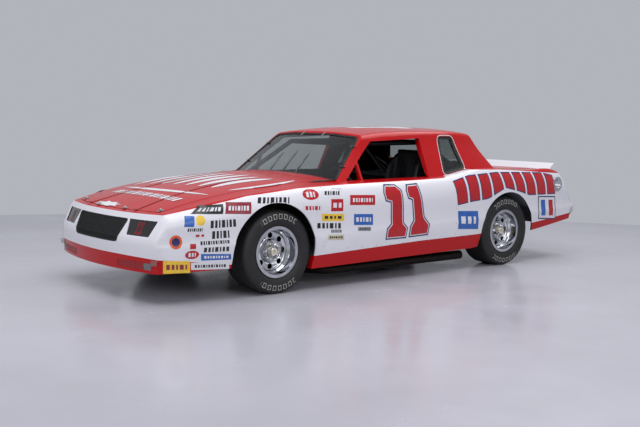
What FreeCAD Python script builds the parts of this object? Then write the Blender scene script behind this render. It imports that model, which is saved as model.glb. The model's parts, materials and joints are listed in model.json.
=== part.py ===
"""Full-size stock car of the middle nineteen-eighties, a two-door notchback coupe.

Frame: X forward, Y to the car's left, Z up, millimetres. The origin is on the floor under the
middle of the overall length. Body skins are cut from two closed forms, the lower body and the
greenhouse, each met by its own inset form, so that every panel has a real wall.
"""
import FreeCAD
import Part
import math
import os
import Sketcher
from FreeCAD import Placement, Rotation, Vector

doc = FreeCAD.newDocument("stock_car")
sheet = doc.addObject("Spreadsheet::Sheet", "Sizes")


class Size(float):
    """A length that keeps the sheet formula it was worked out from."""

    def __new__(cls, value, formula):
        size = super().__new__(cls, value)
        size.formula = formula
        return size

    def _join(self, other, sign, result, swap=False):
        mine, theirs = self.formula, formula_of(other)
        first, second = (theirs, mine) if swap else (mine, theirs)
        return Size(result, f"({first} {sign} {second})")

    def __add__(self, other):
        return self._join(other, "+", float(self) + float(other))

    def __radd__(self, other):
        return self._join(other, "+", float(other) + float(self), swap=True)

    def __sub__(self, other):
        return self._join(other, "-", float(self) - float(other))

    def __rsub__(self, other):
        return self._join(other, "-", float(other) - float(self), swap=True)

    def __mul__(self, other):
        return self._join(other, "*", float(self) * float(other))

    def __rmul__(self, other):
        return self._join(other, "*", float(other) * float(self), swap=True)

    def __truediv__(self, other):
        return self._join(other, "/", float(self) / float(other))

    def __neg__(self):
        return Size(-float(self), f"(0 - {self.formula})")


def formula_of(value):
    """The sheet formula of a size, or the plain figure of a share or a zero."""
    return getattr(value, "formula", repr(float(value)))


SIZES = (
    # overall
    ("overall_length", 5104, "bumper to bumper"),
    ("wheelbase", 2794, "front axle to rear axle"),
    ("front_overhang", 1155, "nose to front axle"),
    ("body_width", 1896, "across the door creases"),
    ("belt_height", 868, "door top above the floor"),
    ("roof_height", 1334, "highest point of the roof above the floor"),
    # nose and tail profile
    ("valance_height", 235, "lower edge of the nose above the floor"),
    ("bumper_crease_height", 430, "foremost line of the nose"),
    ("ledge_height", 488, "ledge under the lamps and grille"),
    ("nose_rake", 84, "how far the lamp face leans back up to the hood lip"),
    ("nose_rake_rise", 167, "height over which it leans back"),
    ("nose_tuck", 12, "how far the valance edge sits behind the bumper line"),
    ("nose_sweep", 160, "how far the nose curves back at the full half width"),
    ("tail_sweep", 50, "how far the tail curves forward at the full half width"),
    ("tail_edge_height", 405, "lower edge of the tail above the floor"),
    ("tail_bumper_height", 525, "middle of the rear bumper above the floor"),
    ("tail_bumper_depth", 80, "height of the rear bumper"),
    ("tail_bumper_step", 52, "how far the rear bumper stands out"),
    ("tail_rake", 190, "how far the tail panel leans forward up to the deck"),
    ("tail_rake_rise", 305, "height over which it leans forward"),
    ("sill_height_front", 176, "lower body edge behind the front wheel"),
    ("sill_height_rear", 205, "lower body edge ahead of the rear wheel"),
    ("sill_tuck", 30, "how far the body side leans in below the crease"),
    ("skin", 12, "wall of the outer panels"),
    ("door_wall", 60, "wall of doors and rockers"),
    ("panel_gap", 9, "shut line round a panel that opens"),
    ("cowl_gap", 10.5, "gap behind the hood's rear edge"),
    # seams
    ("nose_seam", 300, "nose piece depth at the seam to the front fenders"),
    ("tail_seam", 252, "tail piece depth at the seam to the quarter panels"),
    ("door_setback", 476, "front axle to the front door seam"),
    ("door_length", 1533, "door seam to door seam"),
    ("rocker_height", 105, "height of the rocker panel"),
    ("front_arch_radius", 400, "radius of the front wheel opening"),
    ("rear_arch_radius", 384, "radius of the rear wheel opening"),
    ("arch_lead", 38, "front wheel opening centre ahead of the axle"),
    ("rear_arch_flare", 110, "how far the rear opening runs out towards the sill"),
    # hood, cowl and decklid outlines
    ("hood_lip", 62, "nose piece left ahead of the hood"),
    ("hood_front_width", 1290, "hood width at its front edge"),
    ("hood_rear_width", 1420, "hood width at its rear edge"),
    ("hood_back_setback", 490, "front axle to the middle of the hood's rear edge"),
    ("hood_back_sweep", 60, "how far that edge curves back at its corners"),
    ("deck_front", 1500, "middle of the car to the decklid's front edge"),
    ("deck_lip", 36, "tail piece left behind the decklid"),
    ("deck_width", 1400, "decklid width"),
    # greenhouse
    ("cowl_setback", 557, "front axle to the windshield base at the middle"),
    ("windshield_run", 510, "length of the windshield seen from the side, along the car"),
    ("windshield_rise", 392, "height of the windshield"),
    ("windshield_sweep", 242, "how far its base curves back at the full half width"),
    ("roof_run", 1500, "windshield top to backlight top along the car"),
    ("backlight_run", 219, "how far the backlight leans"),
    ("backlight_rise", 335, "height of the backlight"),
    ("backlight_sweep", 70, "how far it curves forward at the full half width"),
    ("cabin_width", 1630, "greenhouse width at its base"),
    ("roof_width", 1240, "greenhouse width at the gutter"),
    ("pillar", 40, "wall of the roof and pillars"),
    ("glass", 6, "glass thickness"),
    ("glass_inset", 8, "glass face below the roof and pillar face"),
    ("windshield_low_width", 1516, "windshield opening across its lower corners"),
    ("windshield_top_width", 1190, "windshield opening across its upper corners"),
    ("windshield_top", 1246, "upper corners of that opening above the floor"),
    ("windshield_bow", 22, "how much higher its middle is"),
    ("backlight_low_width", 1390, "backlight opening across its lower corners"),
    ("backlight_top_width", 1080, "backlight opening across its upper corners"),
    ("backlight_low", 985, "lower corners of that opening above the floor"),
    ("backlight_top", 1240, "upper corners of that opening above the floor"),
    ("window_top_front", 1210, "front upper corner of a door window above the floor"),
    ("window_top_rear", 1237, "rear upper corner of a door window above the floor"),
    ("window_top_lead", 140, "windshield top to the front upper corner of a door window"),
    ("vent_setback", 418, "windshield base to the bar behind a door window's front quarter"),
    ("vent_bar", 22, "width of that bar"),
    ("middle_post", 214, "post between door window and quarter window at the belt"),
    ("middle_post_top", 256, "the same post at the window tops"),
    ("quarter_window_length", 298, "quarter window along its lower edge"),
    ("quarter_window_head", 196, "quarter window along its upper edge"),
    ("quarter_window_low", 907, "front lower corner of a quarter window above the floor"),
    ("quarter_window_rise", 47, "how much higher its rear lower corner is"),
    ("quarter_window_top", 1252, "upper edge of a quarter window above the floor"),
    ("fuel_filler_setback", 786, "rear axle to the fuel filler"),
    ("fuel_filler_height", 775, "fuel filler's middle above the floor"),
    ("fuel_filler_tuck", 23, "fuel filler's rim inboard of the widest body line"),
    ("fuel_filler_depth", 100, "depth of the filler neck"),
    ("fuel_filler_bore", 40, "inner radius of the filler neck"),
    ("fuel_filler_neck", 52, "outer radius of the filler neck"),
    ("fuel_filler_rim", 74, "radius of the rim round the filler"),
    # wheels
    ("tyre_radius", 338, "tyre outer radius"),
    ("tyre_width", 300, "tyre section width"),
    ("tread_width", 246, "tread width"),
    ("tyre_wall", 16, "tyre sidewall"),
    ("tyre_crown", 24, "tyre thickness under the tread"),
    ("rim_radius", 190, "bead seat radius"),
    ("rim_flange", 18, "flange height above the bead seat"),
    ("rim_width", 262, "rim width over its flanges"),
    ("rim_wall", 7, "rim wall"),
    ("rim_drop", 25, "depth of the drop centre"),
    ("rim_dish", 101, "centre disc depth below the outer flange"),
    ("disc_crown", 26, "how far the centre disc stands out round the hub"),
    ("wheel_holes", 8, "number of round holes in the centre disc"),
    ("wheel_hole_radius", 23, "radius of those holes"),
    ("wheel_hole_circle", 127, "radius of the circle they lie on"),
    ("lug_count", 5, "number of lug nuts"),
    ("lug_radius", 12, "radius of a lug nut"),
    ("lug_reach", 22, "how far a lug nut stands out"),
    ("lug_circle", 63.5, "radius of the lug circle"),
    ("hub_radius", 36, "radius of the hub cap that shows"),
    ("hub_reach", 44, "how far the hub cap stands out of the disc"),
    ("hub_barrel", 44, "outer radius of the hub behind the disc"),
    ("half_track", 762, "middle of the car to the wheel's middle plane"),
    ("brake_radius", 136, "brake disc radius"),
    ("brake_thickness", 30, "brake disc thickness"),
    ("brake_inboard", 31, "brake disc middle inboard of the wheel's middle plane"),
    ("brake_play", 6, "clearance round the brake disc and the caliper"),
    # front suspension
    ("kingpin_offset", 97, "kingpin inboard of the wheel's middle plane"),
    ("upright_height", 250, "lower to upper ball joint"),
    ("upright_size", 52, "section of the upright"),
    ("spindle_radius", 24, "spindle radius"),
    ("spindle_reach", 28, "spindle end outboard of the wheel's middle plane"),
    ("steer_arm", 122, "length of the steering arm"),
    ("arm_spread", 300, "control arm pivots along the car"),
    ("arm_thickness", 26, "control arm thickness"),
    ("arm_bar", 36, "control arm bar width"),
    ("shock_radius", 30, "shock absorber body radius"),
    ("shock_offset", 490, "front shock absorber to the car's middle"),
    ("shock_top", 630, "front shock absorber's upper mount above the floor"),
    # rear suspension
    ("axle_tube_radius", 45, "rear axle tube radius"),
    ("differential_radius", 150, "differential housing radius"),
    ("differential_width", 230, "differential housing width"),
    ("truck_arm_size", 56, "rear trailing arm section"),
    ("truck_arm_reach", 1202, "rear axle to the trailing arms' front ends"),
    ("truck_arm_front", 130, "front end of a trailing arm to the car's middle"),
    ("truck_arm_rear", 430, "rear end of a trailing arm to the car's middle"),
    ("truck_arm_height", 205, "underside of the trailing arms above the floor"),
    ("spring_radius", 60, "coil spring radius"),
    ("spring_lead", 150, "rear spring ahead of the axle"),
    ("spring_offset", 440, "rear spring to the car's middle"),
    ("driveshaft_radius", 38, "driveshaft tube radius"),
    # chassis
    ("rail_bottom", 165, "underside of the main rails above the floor"),
    ("rail_height", 100, "main rail height"),
    ("rail_width", 76, "main rail width"),
    ("rail_spread", 1250, "main rails centre to centre"),
    ("clip_spread", 790, "front clip rails centre to centre"),
    ("clip_length", 1560, "front clip rails ahead of the firewall"),
    ("tail_rail_spread", 940, "rear clip rails centre to centre"),
    ("tail_rail_length", 1320, "rear clip rails behind the cabin"),
    ("clip_height", 250, "underside of the front clip rails above the floor"),
    ("kickup_height", 470, "underside of the rear clip rails above the floor"),
    ("firewall_setback", 36, "windshield base to the firewall"),
    ("bulkhead_lead", 497, "rear axle to the bulkhead behind the cabin"),
    ("sheet_wall", 6, "floor and bulkhead sheet"),
    ("shelf_height", 850, "parcel shelf above the floor"),
    ("tunnel_width", 330, "tunnel width"),
    ("tunnel_height", 190, "tunnel height over the floor"),
    ("tub_width", 360, "rear wheel tub width"),
    ("tube_radius", 22, "roll cage tube radius"),
    ("brace_radius", 8, "windshield brace radius"),
    ("brace_spread", 190, "windshield braces centre to centre"),
    ("engine_length", 640, "engine block length"),
    ("engine_width", 560, "engine block width"),
    ("engine_height", 470, "engine block height"),
    ("engine_bottom", 215, "engine's underside above the floor"),
    ("engine_gap", 80, "engine to the firewall"),
    ("gearbox_width", 240, "gearbox width"),
    ("gearbox_length", 560, "gearbox length behind the firewall"),
    ("gearbox_height", 210, "gearbox height"),
    ("shaft_height", 325, "driveshaft above the floor"),
    ("radiator_width", 660, "radiator width"),
    ("radiator_height", 300, "radiator height"),
    ("radiator_depth", 60, "radiator depth"),
    ("cell_length", 520, "fuel cell length"),
    ("cell_width", 840, "fuel cell width"),
    ("cell_height", 250, "fuel cell height"),
    ("cell_setback", 250, "rear axle to the fuel cell"),
    ("exhaust_radius", 42, "exhaust pipe radius"),
    ("exhaust_wall", 4, "exhaust pipe wall"),
    ("exhaust_height", 117, "exhaust pipe's middle above the floor"),
    ("exhaust_offset", 720, "exhaust pipe to the car's middle"),
    ("exhaust_end", 452, "rear axle to the exhaust outlet"),
    # cabin
    ("seat_offset", 385, "driver's seat middle to the car's middle"),
    ("seat_width", 424, "seat width over its bolsters"),
    ("seat_back_setback", 2050, "front axle to the seat back's rear face"),
    ("seat_depth", 520, "seat cushion length"),
    ("seat_height", 800, "seat height over its cushion base"),
    ("seat_base", 330, "cushion base above the floor"),
    ("seat_wall", 50, "cushion thickness"),
    ("bolster_width", 46, "bolster thickness"),
    ("bolster_rise", 70, "bolster height over the cushion"),
    ("seat_lean", 130, "how far the seat back leans"),
    ("wheel_ring_radius", 185, "steering wheel radius"),
    ("wheel_grip", 14, "steering wheel grip radius"),
    ("wheel_setback", 1100, "front axle to the steering wheel's middle"),
    ("wheel_height", 800, "steering wheel's middle above the floor"),
    ("column_radius", 20, "steering column radius"),
    ("column_foot", 560, "steering column above the floor at the firewall"),
    ("dash_setback", 650, "front axle to the dashboard's front face"),
    ("dash_depth", 180, "dashboard depth along the car"),
    ("dash_width", 1280, "dashboard width"),
    ("dash_bottom", 760, "dashboard's underside above the floor"),
    ("dash_height", 96, "dashboard height"),
    # hinges
    ("hinge_spread", 600, "hinge arms centre to centre"),
    ("hinge_pin", 5, "hinge pin radius"),
    ("hinge_arm", 10, "hinge arm thickness"),
    ("hinge_eye", 9, "radius of a hinge arm's eye"),
    ("hinge_ear", 8, "thickness of a hinge bracket's ear"),
    ("hood_hinge_setback", 567, "front axle to the hood's hinge pins"),
    ("hood_hinge_height", 890, "hood's hinge pins above the floor"),
    ("hood_hinge_reach", 150, "hood hinge arm from its pin to its front end"),
    ("deck_hinge_reach", 165, "decklid hinge arm from its pin to its rear end"),
    ("deck_hinge_lead", 84, "decklid's front edge to its hinge pins"),
    ("deck_hinge_height", 934, "decklid's hinge pins above the floor"),
    ("pin_play", 0.3, "clearance round a pin or a spindle"),
    # spoiler
    ("spoiler_width", 1500, "spoiler width"),
    ("spoiler_base", 913, "spoiler sheet's lower edge above the floor"),
    ("spoiler_height", 68, "spoiler sheet's height over that edge"),
    ("spoiler_lean", 78, "how far the spoiler leans back"),
    ("spoiler_fold", 35, "height of the fold over the lower edge"),
    ("spoiler_sheet", 5, "spoiler sheet"),
    ("spoiler_foot", 34, "foot of the spoiler on the decklid"),
    ("overrun", 40, "how far a cutting tool runs past what it cuts"),
    ("seat_gap", 0.3, "clearance between seated pieces"),
)
for row, (alias, value, note) in enumerate(SIZES, start=1):
    sheet.set(f"A{row}", alias)
    sheet.set(f"B{row}", str(value))
    sheet.set(f"C{row}", note)
    sheet.setAlias(f"B{row}", alias)
doc.recompute()


class Sizes:
    """Every driving dimension of the sheet, by its alias."""


for alias, _, _ in SIZES:
    setattr(Sizes, alias, Size(sheet.get(alias), f"Sizes.{alias}"))
S = Sizes

# Places that follow from the sheet
HALF = S.body_width / 2
NOSE = S.overall_length / 2
TAIL = -NOSE
FRONT_AXLE = NOSE - S.front_overhang
REAR_AXLE = FRONT_AXLE - S.wheelbase
DOOR_FRONT = FRONT_AXLE - S.door_setback
DOOR_REAR = DOOR_FRONT - S.door_length
NOSE_SEAM = NOSE - S.nose_seam
TAIL_SEAM = TAIL + S.tail_seam
COWL = FRONT_AXLE - S.cowl_setback
GLASS_TOP = COWL - S.windshield_run
BACK_TOP = GLASS_TOP - S.roof_run
BACK_BASE = BACK_TOP - S.backlight_run
ROCKER_TOP = S.sill_height_front + S.rocker_height
NOTHING = Size(0, "0")
FIREWALL = COWL - S.firewall_setback
BULKHEAD = REAR_AXLE + S.bulkhead_lead
RAIL_TOP = S.rail_bottom + S.rail_height
FLOOR_TOP = RAIL_TOP + S.sheet_wall
TUNNEL_TOP = FLOOR_TOP + S.tunnel_height
SHELF_BACK = BACK_BASE + S.pillar - S.skin
DECK_REAR = TAIL + S.tail_bumper_step + S.tail_rake + S.deck_lip
CLIP_TOP = S.clip_height + S.rail_height
KICK_TOP = S.kickup_height + S.rail_height
CLIP_OUT = S.clip_spread / 2 + S.rail_width / 2
TAIL_OUT = S.tail_rail_spread / 2 + S.rail_width / 2
RAIL_OUT = S.rail_spread / 2 + S.rail_width / 2
WHEEL_X = {"front": FRONT_AXLE, "rear": REAR_AXLE}
KINGPIN = S.half_track - S.kingpin_offset
LOWER_JOINT = S.tyre_radius - S.upright_height / 2
UPPER_JOINT = S.tyre_radius + S.upright_height / 2
SKY = S.roof_height + S.overrun
PIECES = {}


# Helpers that bind a document object to the sheet

def bind(thing, name, size):
    """Sets a property and ties it to the sheet formula of its size."""
    formula = formula_of(size)
    if "Sizes." in formula:
        thing.setExpression(name, formula)
    elif "." in name:
        thing.setExpression(name, formula)
    else:
        setattr(thing, name, float(size))


def block(name, x, y, z):
    """A box from low and high places along each axis."""
    box = doc.addObject("Part::Box", name)
    for place, side, (low, high) in zip("xyz", ("Length", "Width", "Height"), (x, y, z)):
        bind(box, side, high - low)
        bind(box, f"Placement.Base.{place}", low)
    return box


AXIS_TURN = {
    "X": Rotation(Vector(0, 1, 0), 90),
    "Y": Rotation(Vector(1, 0, 0), -90),
    "Z": Rotation(),
}


def rod(name, start, axis, length, radius):
    """A cylinder from a start point along a named axis."""
    cylinder = doc.addObject("Part::Cylinder", name)
    cylinder.Placement = Placement(Vector(), AXIS_TURN[axis])
    for place, at in zip("xyz", start):
        bind(cylinder, f"Placement.Base.{place}", at)
    bind(cylinder, "Height", length)
    bind(cylinder, "Radius", radius)
    return cylinder


def feature(name, shape):
    """A piece of surface work whose shape is worked out here from the sheet."""
    made = doc.addObject("Part::Feature", name)
    made.Shape = shape
    return made


def fused(name, *parts):
    made = doc.addObject("Part::MultiFuse", name)
    made.Shapes = list(parts)
    made.Refine = False
    return made


def common(name, *parts):
    made = doc.addObject("Part::MultiCommon", name)
    made.Shapes = list(parts)
    return made


def cut(name, base, *tools):
    for number, tool in enumerate(tools):
        made = doc.addObject("Part::Cut", f"{name}_{number}")
        made.Base = base
        made.Tool = tool
        base = made
    return base


def mirrored(name, source):
    """The same piece on the other side of the car."""
    made = doc.addObject("Part::Mirroring", name)
    made.Source = source
    made.Normal = Vector(0, 1, 0)
    return made


def piece(node, thing):
    """Marks a finished sub-part, whose label names its file."""
    thing.Label = node
    PIECES[node] = thing
    return thing


PLANES = {
    "XY": Rotation(),
    "XZ": Rotation(Vector(1, 0, 0), Vector(0, 0, 1), Vector(0, -1, 0), "XYZ"),
    "YZ": Rotation(Vector(0, 1, 0), Vector(0, 0, 1), Vector(1, 0, 0), "XYZ"),
}
NORMAL_SIGN = {"XY": ("z", 1), "XZ": ("y", -1), "YZ": ("x", 1)}


class Through(tuple):
    """A point that the arc between its two neighbours passes through."""


def tie(sketch, geometry, place, u, v):
    """Ties one point of a sketch to the sheet, or to an axis where it lies on one."""
    for kind, size, axis in (("DistanceX", u, -2), ("DistanceY", v, -1)):
        if abs(float(size)) < 1e-9:
            sketch.addConstraint(Sketcher.Constraint("PointOnObject", geometry, place, axis))
            continue
        index = sketch.addConstraint(
            Sketcher.Constraint(kind, -1, 1, geometry, place, float(size)))
        if "Sizes." in formula_of(size):
            sketch.setExpression(f"Constraints[{index}]", formula_of(size))


def nearest_end(sketch, geometry, point):
    """Which end of an edge lies on a corner: 1 for its start, 2 for its end."""
    start = sketch.getPoint(geometry, 1)
    end = sketch.getPoint(geometry, 2)
    return 1 if (start - point).Length <= (end - point).Length else 2


def draw_outline(sketch, points):
    """Closed outline of straight edges and arcs whose points are all tied to the sheet."""
    corners = [p for p in points if not isinstance(p, Through)]
    spots = [Vector(float(u), float(v), 0) for u, v in corners]
    between = {}
    seen = -1
    for point in points:
        if isinstance(point, Through):
            between[seen] = point
        else:
            seen += 1
    count = len(corners)
    edges = []
    for number, spot in enumerate(spots):
        following = spots[(number + 1) % count]
        if number in between:
            middle = Vector(float(between[number][0]), float(between[number][1]), 0)
            edges.append(sketch.addGeometry(Part.Arc(spot, middle, following), False))
        else:
            edges.append(sketch.addGeometry(Part.LineSegment(spot, following), False))
    for number, edge in enumerate(edges):
        after = edges[(number + 1) % count]
        meeting = spots[(number + 1) % count]
        sketch.addConstraint(Sketcher.Constraint(
            "Coincident", edge, nearest_end(sketch, edge, meeting),
            after, nearest_end(sketch, after, meeting)))
    for number, (u, v) in enumerate(corners):
        tie(sketch, edges[number], nearest_end(sketch, edges[number], spots[number]), u, v)
    for number, (u, v) in between.items():
        mark = sketch.addGeometry(Part.Point(Vector(float(u), float(v), 0)), True)
        tie(sketch, mark, 1, u, v)
        sketch.addConstraint(Sketcher.Constraint("PointOnObject", mark, 1, edges[number]))


def prism(name, plane, points, low, high, corner=None):
    """An outline drawn in a named plane and carried across it from low to high."""
    place, sign = NORMAL_SIGN[plane]
    sketch = doc.addObject("Sketcher::SketchObject", f"{name}_outline")
    sketch.Placement = Placement(Vector(), PLANES[plane])
    draw_outline(sketch, points)
    bind(sketch, f"Placement.Base.{place}", low if sign > 0 else high)
    made = doc.addObject("Part::Extrusion", name)
    made.Base = sketch
    made.DirMode = "Normal"
    made.Solid = True
    bind(made, "LengthFwd", high - low)
    if corner is None:
        return made
    doc.recompute()
    rounded = doc.addObject("Part::Fillet", f"{name}_rounded")
    rounded.Base = made
    along = {"x": Vector(1, 0, 0), "y": Vector(0, 1, 0), "z": Vector(0, 0, 1)}[place]
    edges = []
    for number, edge in enumerate(made.Shape.Edges, start=1):
        if abs(edge.tangentAt(edge.FirstParameter).dot(along)) > 0.99:
            edges.append((number, float(corner), float(corner)))
    rounded.Edges = edges
    return rounded


# Lower body form: sections across the car met by profiles along it
# columns: place along the half length, crease half width, shoulder half width (shares of the half
# body width), crease height, shoulder height, top height (shares of the belt height)
BODY_SECTION_shares = (
    (1.078, 0.781, 0.696, 0.501, 0.726, 0.735),
    (0.960, 0.852, 0.775, 0.501, 0.745, 0.765),
    (0.843, 0.928, 0.849, 0.502, 0.820, 0.858),
    (0.705, 0.978, 0.900, 0.503, 0.893, 0.945),
    (0.549, 0.996, 0.921, 0.505, 0.945, 1.014),
    (0.353, 1.000, 0.928, 0.507, 0.975, 1.062),
    (0.118, 1.000, 0.928, 0.517, 0.989, 1.071),
    (-0.118, 1.000, 0.928, 0.533, 1.000, 1.074),
    (-0.243, 1.000, 0.928, 0.543, 1.020, 1.080),
    (-0.353, 1.000, 0.928, 0.552, 1.080, 1.104),
    (-0.509, 1.000, 0.925, 0.567, 1.086, 1.114),
    (-0.705, 0.992, 0.914, 0.585, 1.058, 1.088),
    (-0.901, 0.962, 0.891, 0.604, 1.018, 1.043),
    (-1.058, 0.928, 0.865, 0.616, 0.993, 1.014),
)
# up the side from the crease and over to the middle: (height, how far in) as shares
SIDE_shares = ((0.0, 0.0), (0.42, 0.03), (0.80, 0.22), (1.0, 1.0))
TOP_shares = ((0.93, 0.20), (0.80, 0.42), (0.50, 0.80), (0.0, 1.0))
# how far round the half section each of those points lies
SECTION_PLACE_shares = (0.0, 0.135, 0.26, 0.34, 0.40, 0.50, 0.72, 1.0)


def smooth_arch(half, places):
    """One curve over the car from the right side to the left through mirrored points."""
    points = half + [Vector(p.x, -p.y, p.z) for p in reversed(half[:-1])]
    where = [0.5 * s for s in places] + [1 - 0.5 * s for s in reversed(places[:-1])]
    curve = Part.BSplineCurve()
    curve.interpolate(Points=points, Parameters=where)
    return curve.toShape()


def body_section(shares, inset):
    """Closed section of the lower body across the car, drawn inside the skin by the inset."""
    along, crease_y, shoulder_y, crease_z, shoulder_z, top_z = shares
    x = NOSE * along
    crease_y = HALF * crease_y - inset
    shoulder_y = HALF * shoulder_y - inset
    crease_z = S.belt_height * crease_z
    shoulder_z = S.belt_height * shoulder_z - inset
    top_z = S.belt_height * top_z - inset
    low_z = S.sill_height_front / 2 - 2 * inset
    tuck = S.sill_tuck * (crease_z - low_z) / (crease_z - S.valance_height)
    half = []
    for up, inward in SIDE_shares:
        y = crease_y + (shoulder_y - crease_y) * inward
        half.append(Vector(x, y, crease_z + (shoulder_z - crease_z) * up))
    for out, rise in TOP_shares:
        half.append(Vector(x, shoulder_y * out, shoulder_z + (top_z - shoulder_z) * rise))
    over = smooth_arch(half, SECTION_PLACE_shares)
    left = Vector(x, crease_y - tuck, low_z)
    right = Vector(x, -left.y, low_z)
    end = Vector(x, -crease_y, crease_z)
    straights = [
        Part.makeLine(end, right),
        Part.makeLine(right, left),
        Part.makeLine(left, half[0]),
    ]
    return Part.Wire([over] + straights)


def swept_profile(points, width, name_front="front"):
    """A closed profile along the car carried across it, its ends following the nose and tail sweeps."""
    wires = []
    for share in (-1.05, -0.55, 0.0, 0.55, 1.05):
        y = width * share
        corners = []
        for x, z, sweep in points:
            corners.append(Vector(x - sweep * share * share, y, z))
        wires.append(Part.makePolygon(corners + corners[:1]))
    return Part.makeLoft(wires, True, False)


def body_profile(inset, open_below):
    """Profile of nose, lower edge and tail; each corner says how far it sweeps at the half width."""
    nose, tail = S.nose_sweep, -S.tail_sweep
    top = SKY
    ledge_x = NOSE - inset - S.nose_tuck / 2
    slope = S.nose_rake / S.nose_rake_rise
    drop = S.door_wall * 2 if open_below else 0
    panel_x = TAIL + S.tail_bumper_step + inset
    panel_z = S.tail_bumper_height + S.tail_bumper_depth * 0.75
    tail_slope = S.tail_rake / S.tail_rake_rise
    bumper_low = S.tail_bumper_height - S.tail_bumper_depth / 2
    bumper_high = S.tail_bumper_height + S.tail_bumper_depth / 4
    sill_middle = REAR_AXLE - S.rear_arch_radius * 0.82
    return [
        (ledge_x - slope * (top - S.ledge_height), top, nose),
        (ledge_x, S.ledge_height, nose),
        (NOSE - inset, S.bumper_crease_height, nose),
        (NOSE - inset - S.nose_tuck, S.valance_height - drop, nose),
        (FRONT_AXLE + S.front_arch_radius, S.valance_height + S.skin - drop, 0),
        (FRONT_AXLE - S.front_arch_radius * 0.77, S.sill_height_front - drop, 0),
        (REAR_AXLE + S.rear_arch_radius * 1.3, S.sill_height_rear - drop, 0),
        (sill_middle, S.sill_height_rear * 1.53 - drop, 0),
        (panel_x + S.skin, S.tail_edge_height - drop, tail),
        (panel_x, bumper_low - S.tail_bumper_depth / 2, tail),
        (TAIL + inset, bumper_low, tail),
        (TAIL + inset, bumper_high, tail),
        (panel_x, panel_z, tail),
        (panel_x + tail_slope * (top - panel_z), top, tail),
    ]


def body_form(inset, open_below=False):
    """The closed lower body, inset from the skin."""
    sections = [body_section(shares, inset) for shares in BODY_SECTION_shares]
    across = Part.makeLoft(sections, True, False)
    along = swept_profile(body_profile(inset, open_below), HALF)
    return across.common(along)


# Greenhouse form
# columns: place along the half length, base half width, gutter half width (shares of the cabin and
# roof half widths), roof height at the middle (share of the roof height)
CABIN_SECTION_shares = (
    (0.470, 0.950, 0.960, 0.880),
    (0.196, 0.988, 1.004, 0.950),
    (0.000, 1.000, 1.004, 0.9895),
    (-0.140, 1.006, 1.000, 0.9985),
    (-0.235, 1.010, 0.997, 1.000),
    (-0.320, 1.014, 0.992, 0.999),
    (-0.460, 1.020, 0.975, 0.9810),
    (-0.640, 1.026, 0.955, 0.937),
)
# from the gutter line: (how far in of the gutter half width, how far below the roof middle in parts
# of the roof crown)
ROOF_shares = ((1.045, 2.20), (1.0, 1.0), (0.90, 0.55), (0.50, 0.15), (0.0, 0.0))
CABIN_PLACE_shares = (0.0, 0.22, 0.40, 0.475, 0.56, 0.76, 1.0)
ROOF_CROWN_share = 0.038


def cabin_section(shares, inset, foot):
    along, base_y, gutter_y, roof_z = shares
    x = NOSE * along
    base_y = S.cabin_width / 2 * base_y - inset
    gutter_y = S.roof_width / 2 * gutter_y - inset
    crown = S.roof_height * ROOF_CROWN_share
    roof_z = S.roof_height * roof_z - inset
    belt_z = S.belt_height - S.skin
    half = [Vector(x, base_y, belt_z)]
    side_z = (belt_z + roof_z - crown * ROOF_shares[0][1]) / 2
    half.append(Vector(x, gutter_y + (base_y - gutter_y) * 0.56, side_z))
    for out, below in ROOF_shares:
        half.append(Vector(x, gutter_y * out, roof_z - crown * below))
    over = smooth_arch(half, CABIN_PLACE_shares)
    low_left = Vector(x, base_y, foot)
    low_right = Vector(x, -base_y, foot)
    high_right = Vector(x, -base_y, belt_z)
    straights = [
        Part.makeLine(high_right, low_right),
        Part.makeLine(low_right, low_left),
        Part.makeLine(low_left, half[0]),
    ]
    return Part.Wire([over] + straights)


def cabin_form(inset):
    """The closed greenhouse, with straight walls carried down into the body."""
    foot = S.ledge_height
    base_z = S.belt_height
    sections = [cabin_section(shares, inset, foot) for shares in CABIN_SECTION_shares]
    across = Part.makeLoft(sections, True, False)
    top = SKY + S.overrun
    run = S.windshield_run / S.windshield_rise
    back = S.backlight_run / S.backlight_rise
    back_z = S.roof_height * ROOF_BACK_share
    front_x, rear_x = COWL - inset, BACK_BASE + inset
    profile = [
        (front_x, foot, S.windshield_sweep),
        (front_x, base_z, S.windshield_sweep),
        (front_x - run * (top - base_z), top, S.windshield_sweep * 0.62),
        (rear_x + back * (top - back_z), top, -S.backlight_sweep),
        (rear_x, back_z, -S.backlight_sweep),
        (rear_x, foot, -S.backlight_sweep),
    ]
    return across.common(swept_profile(profile, HALF))


ROOF_BACK_share = 0.715


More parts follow.
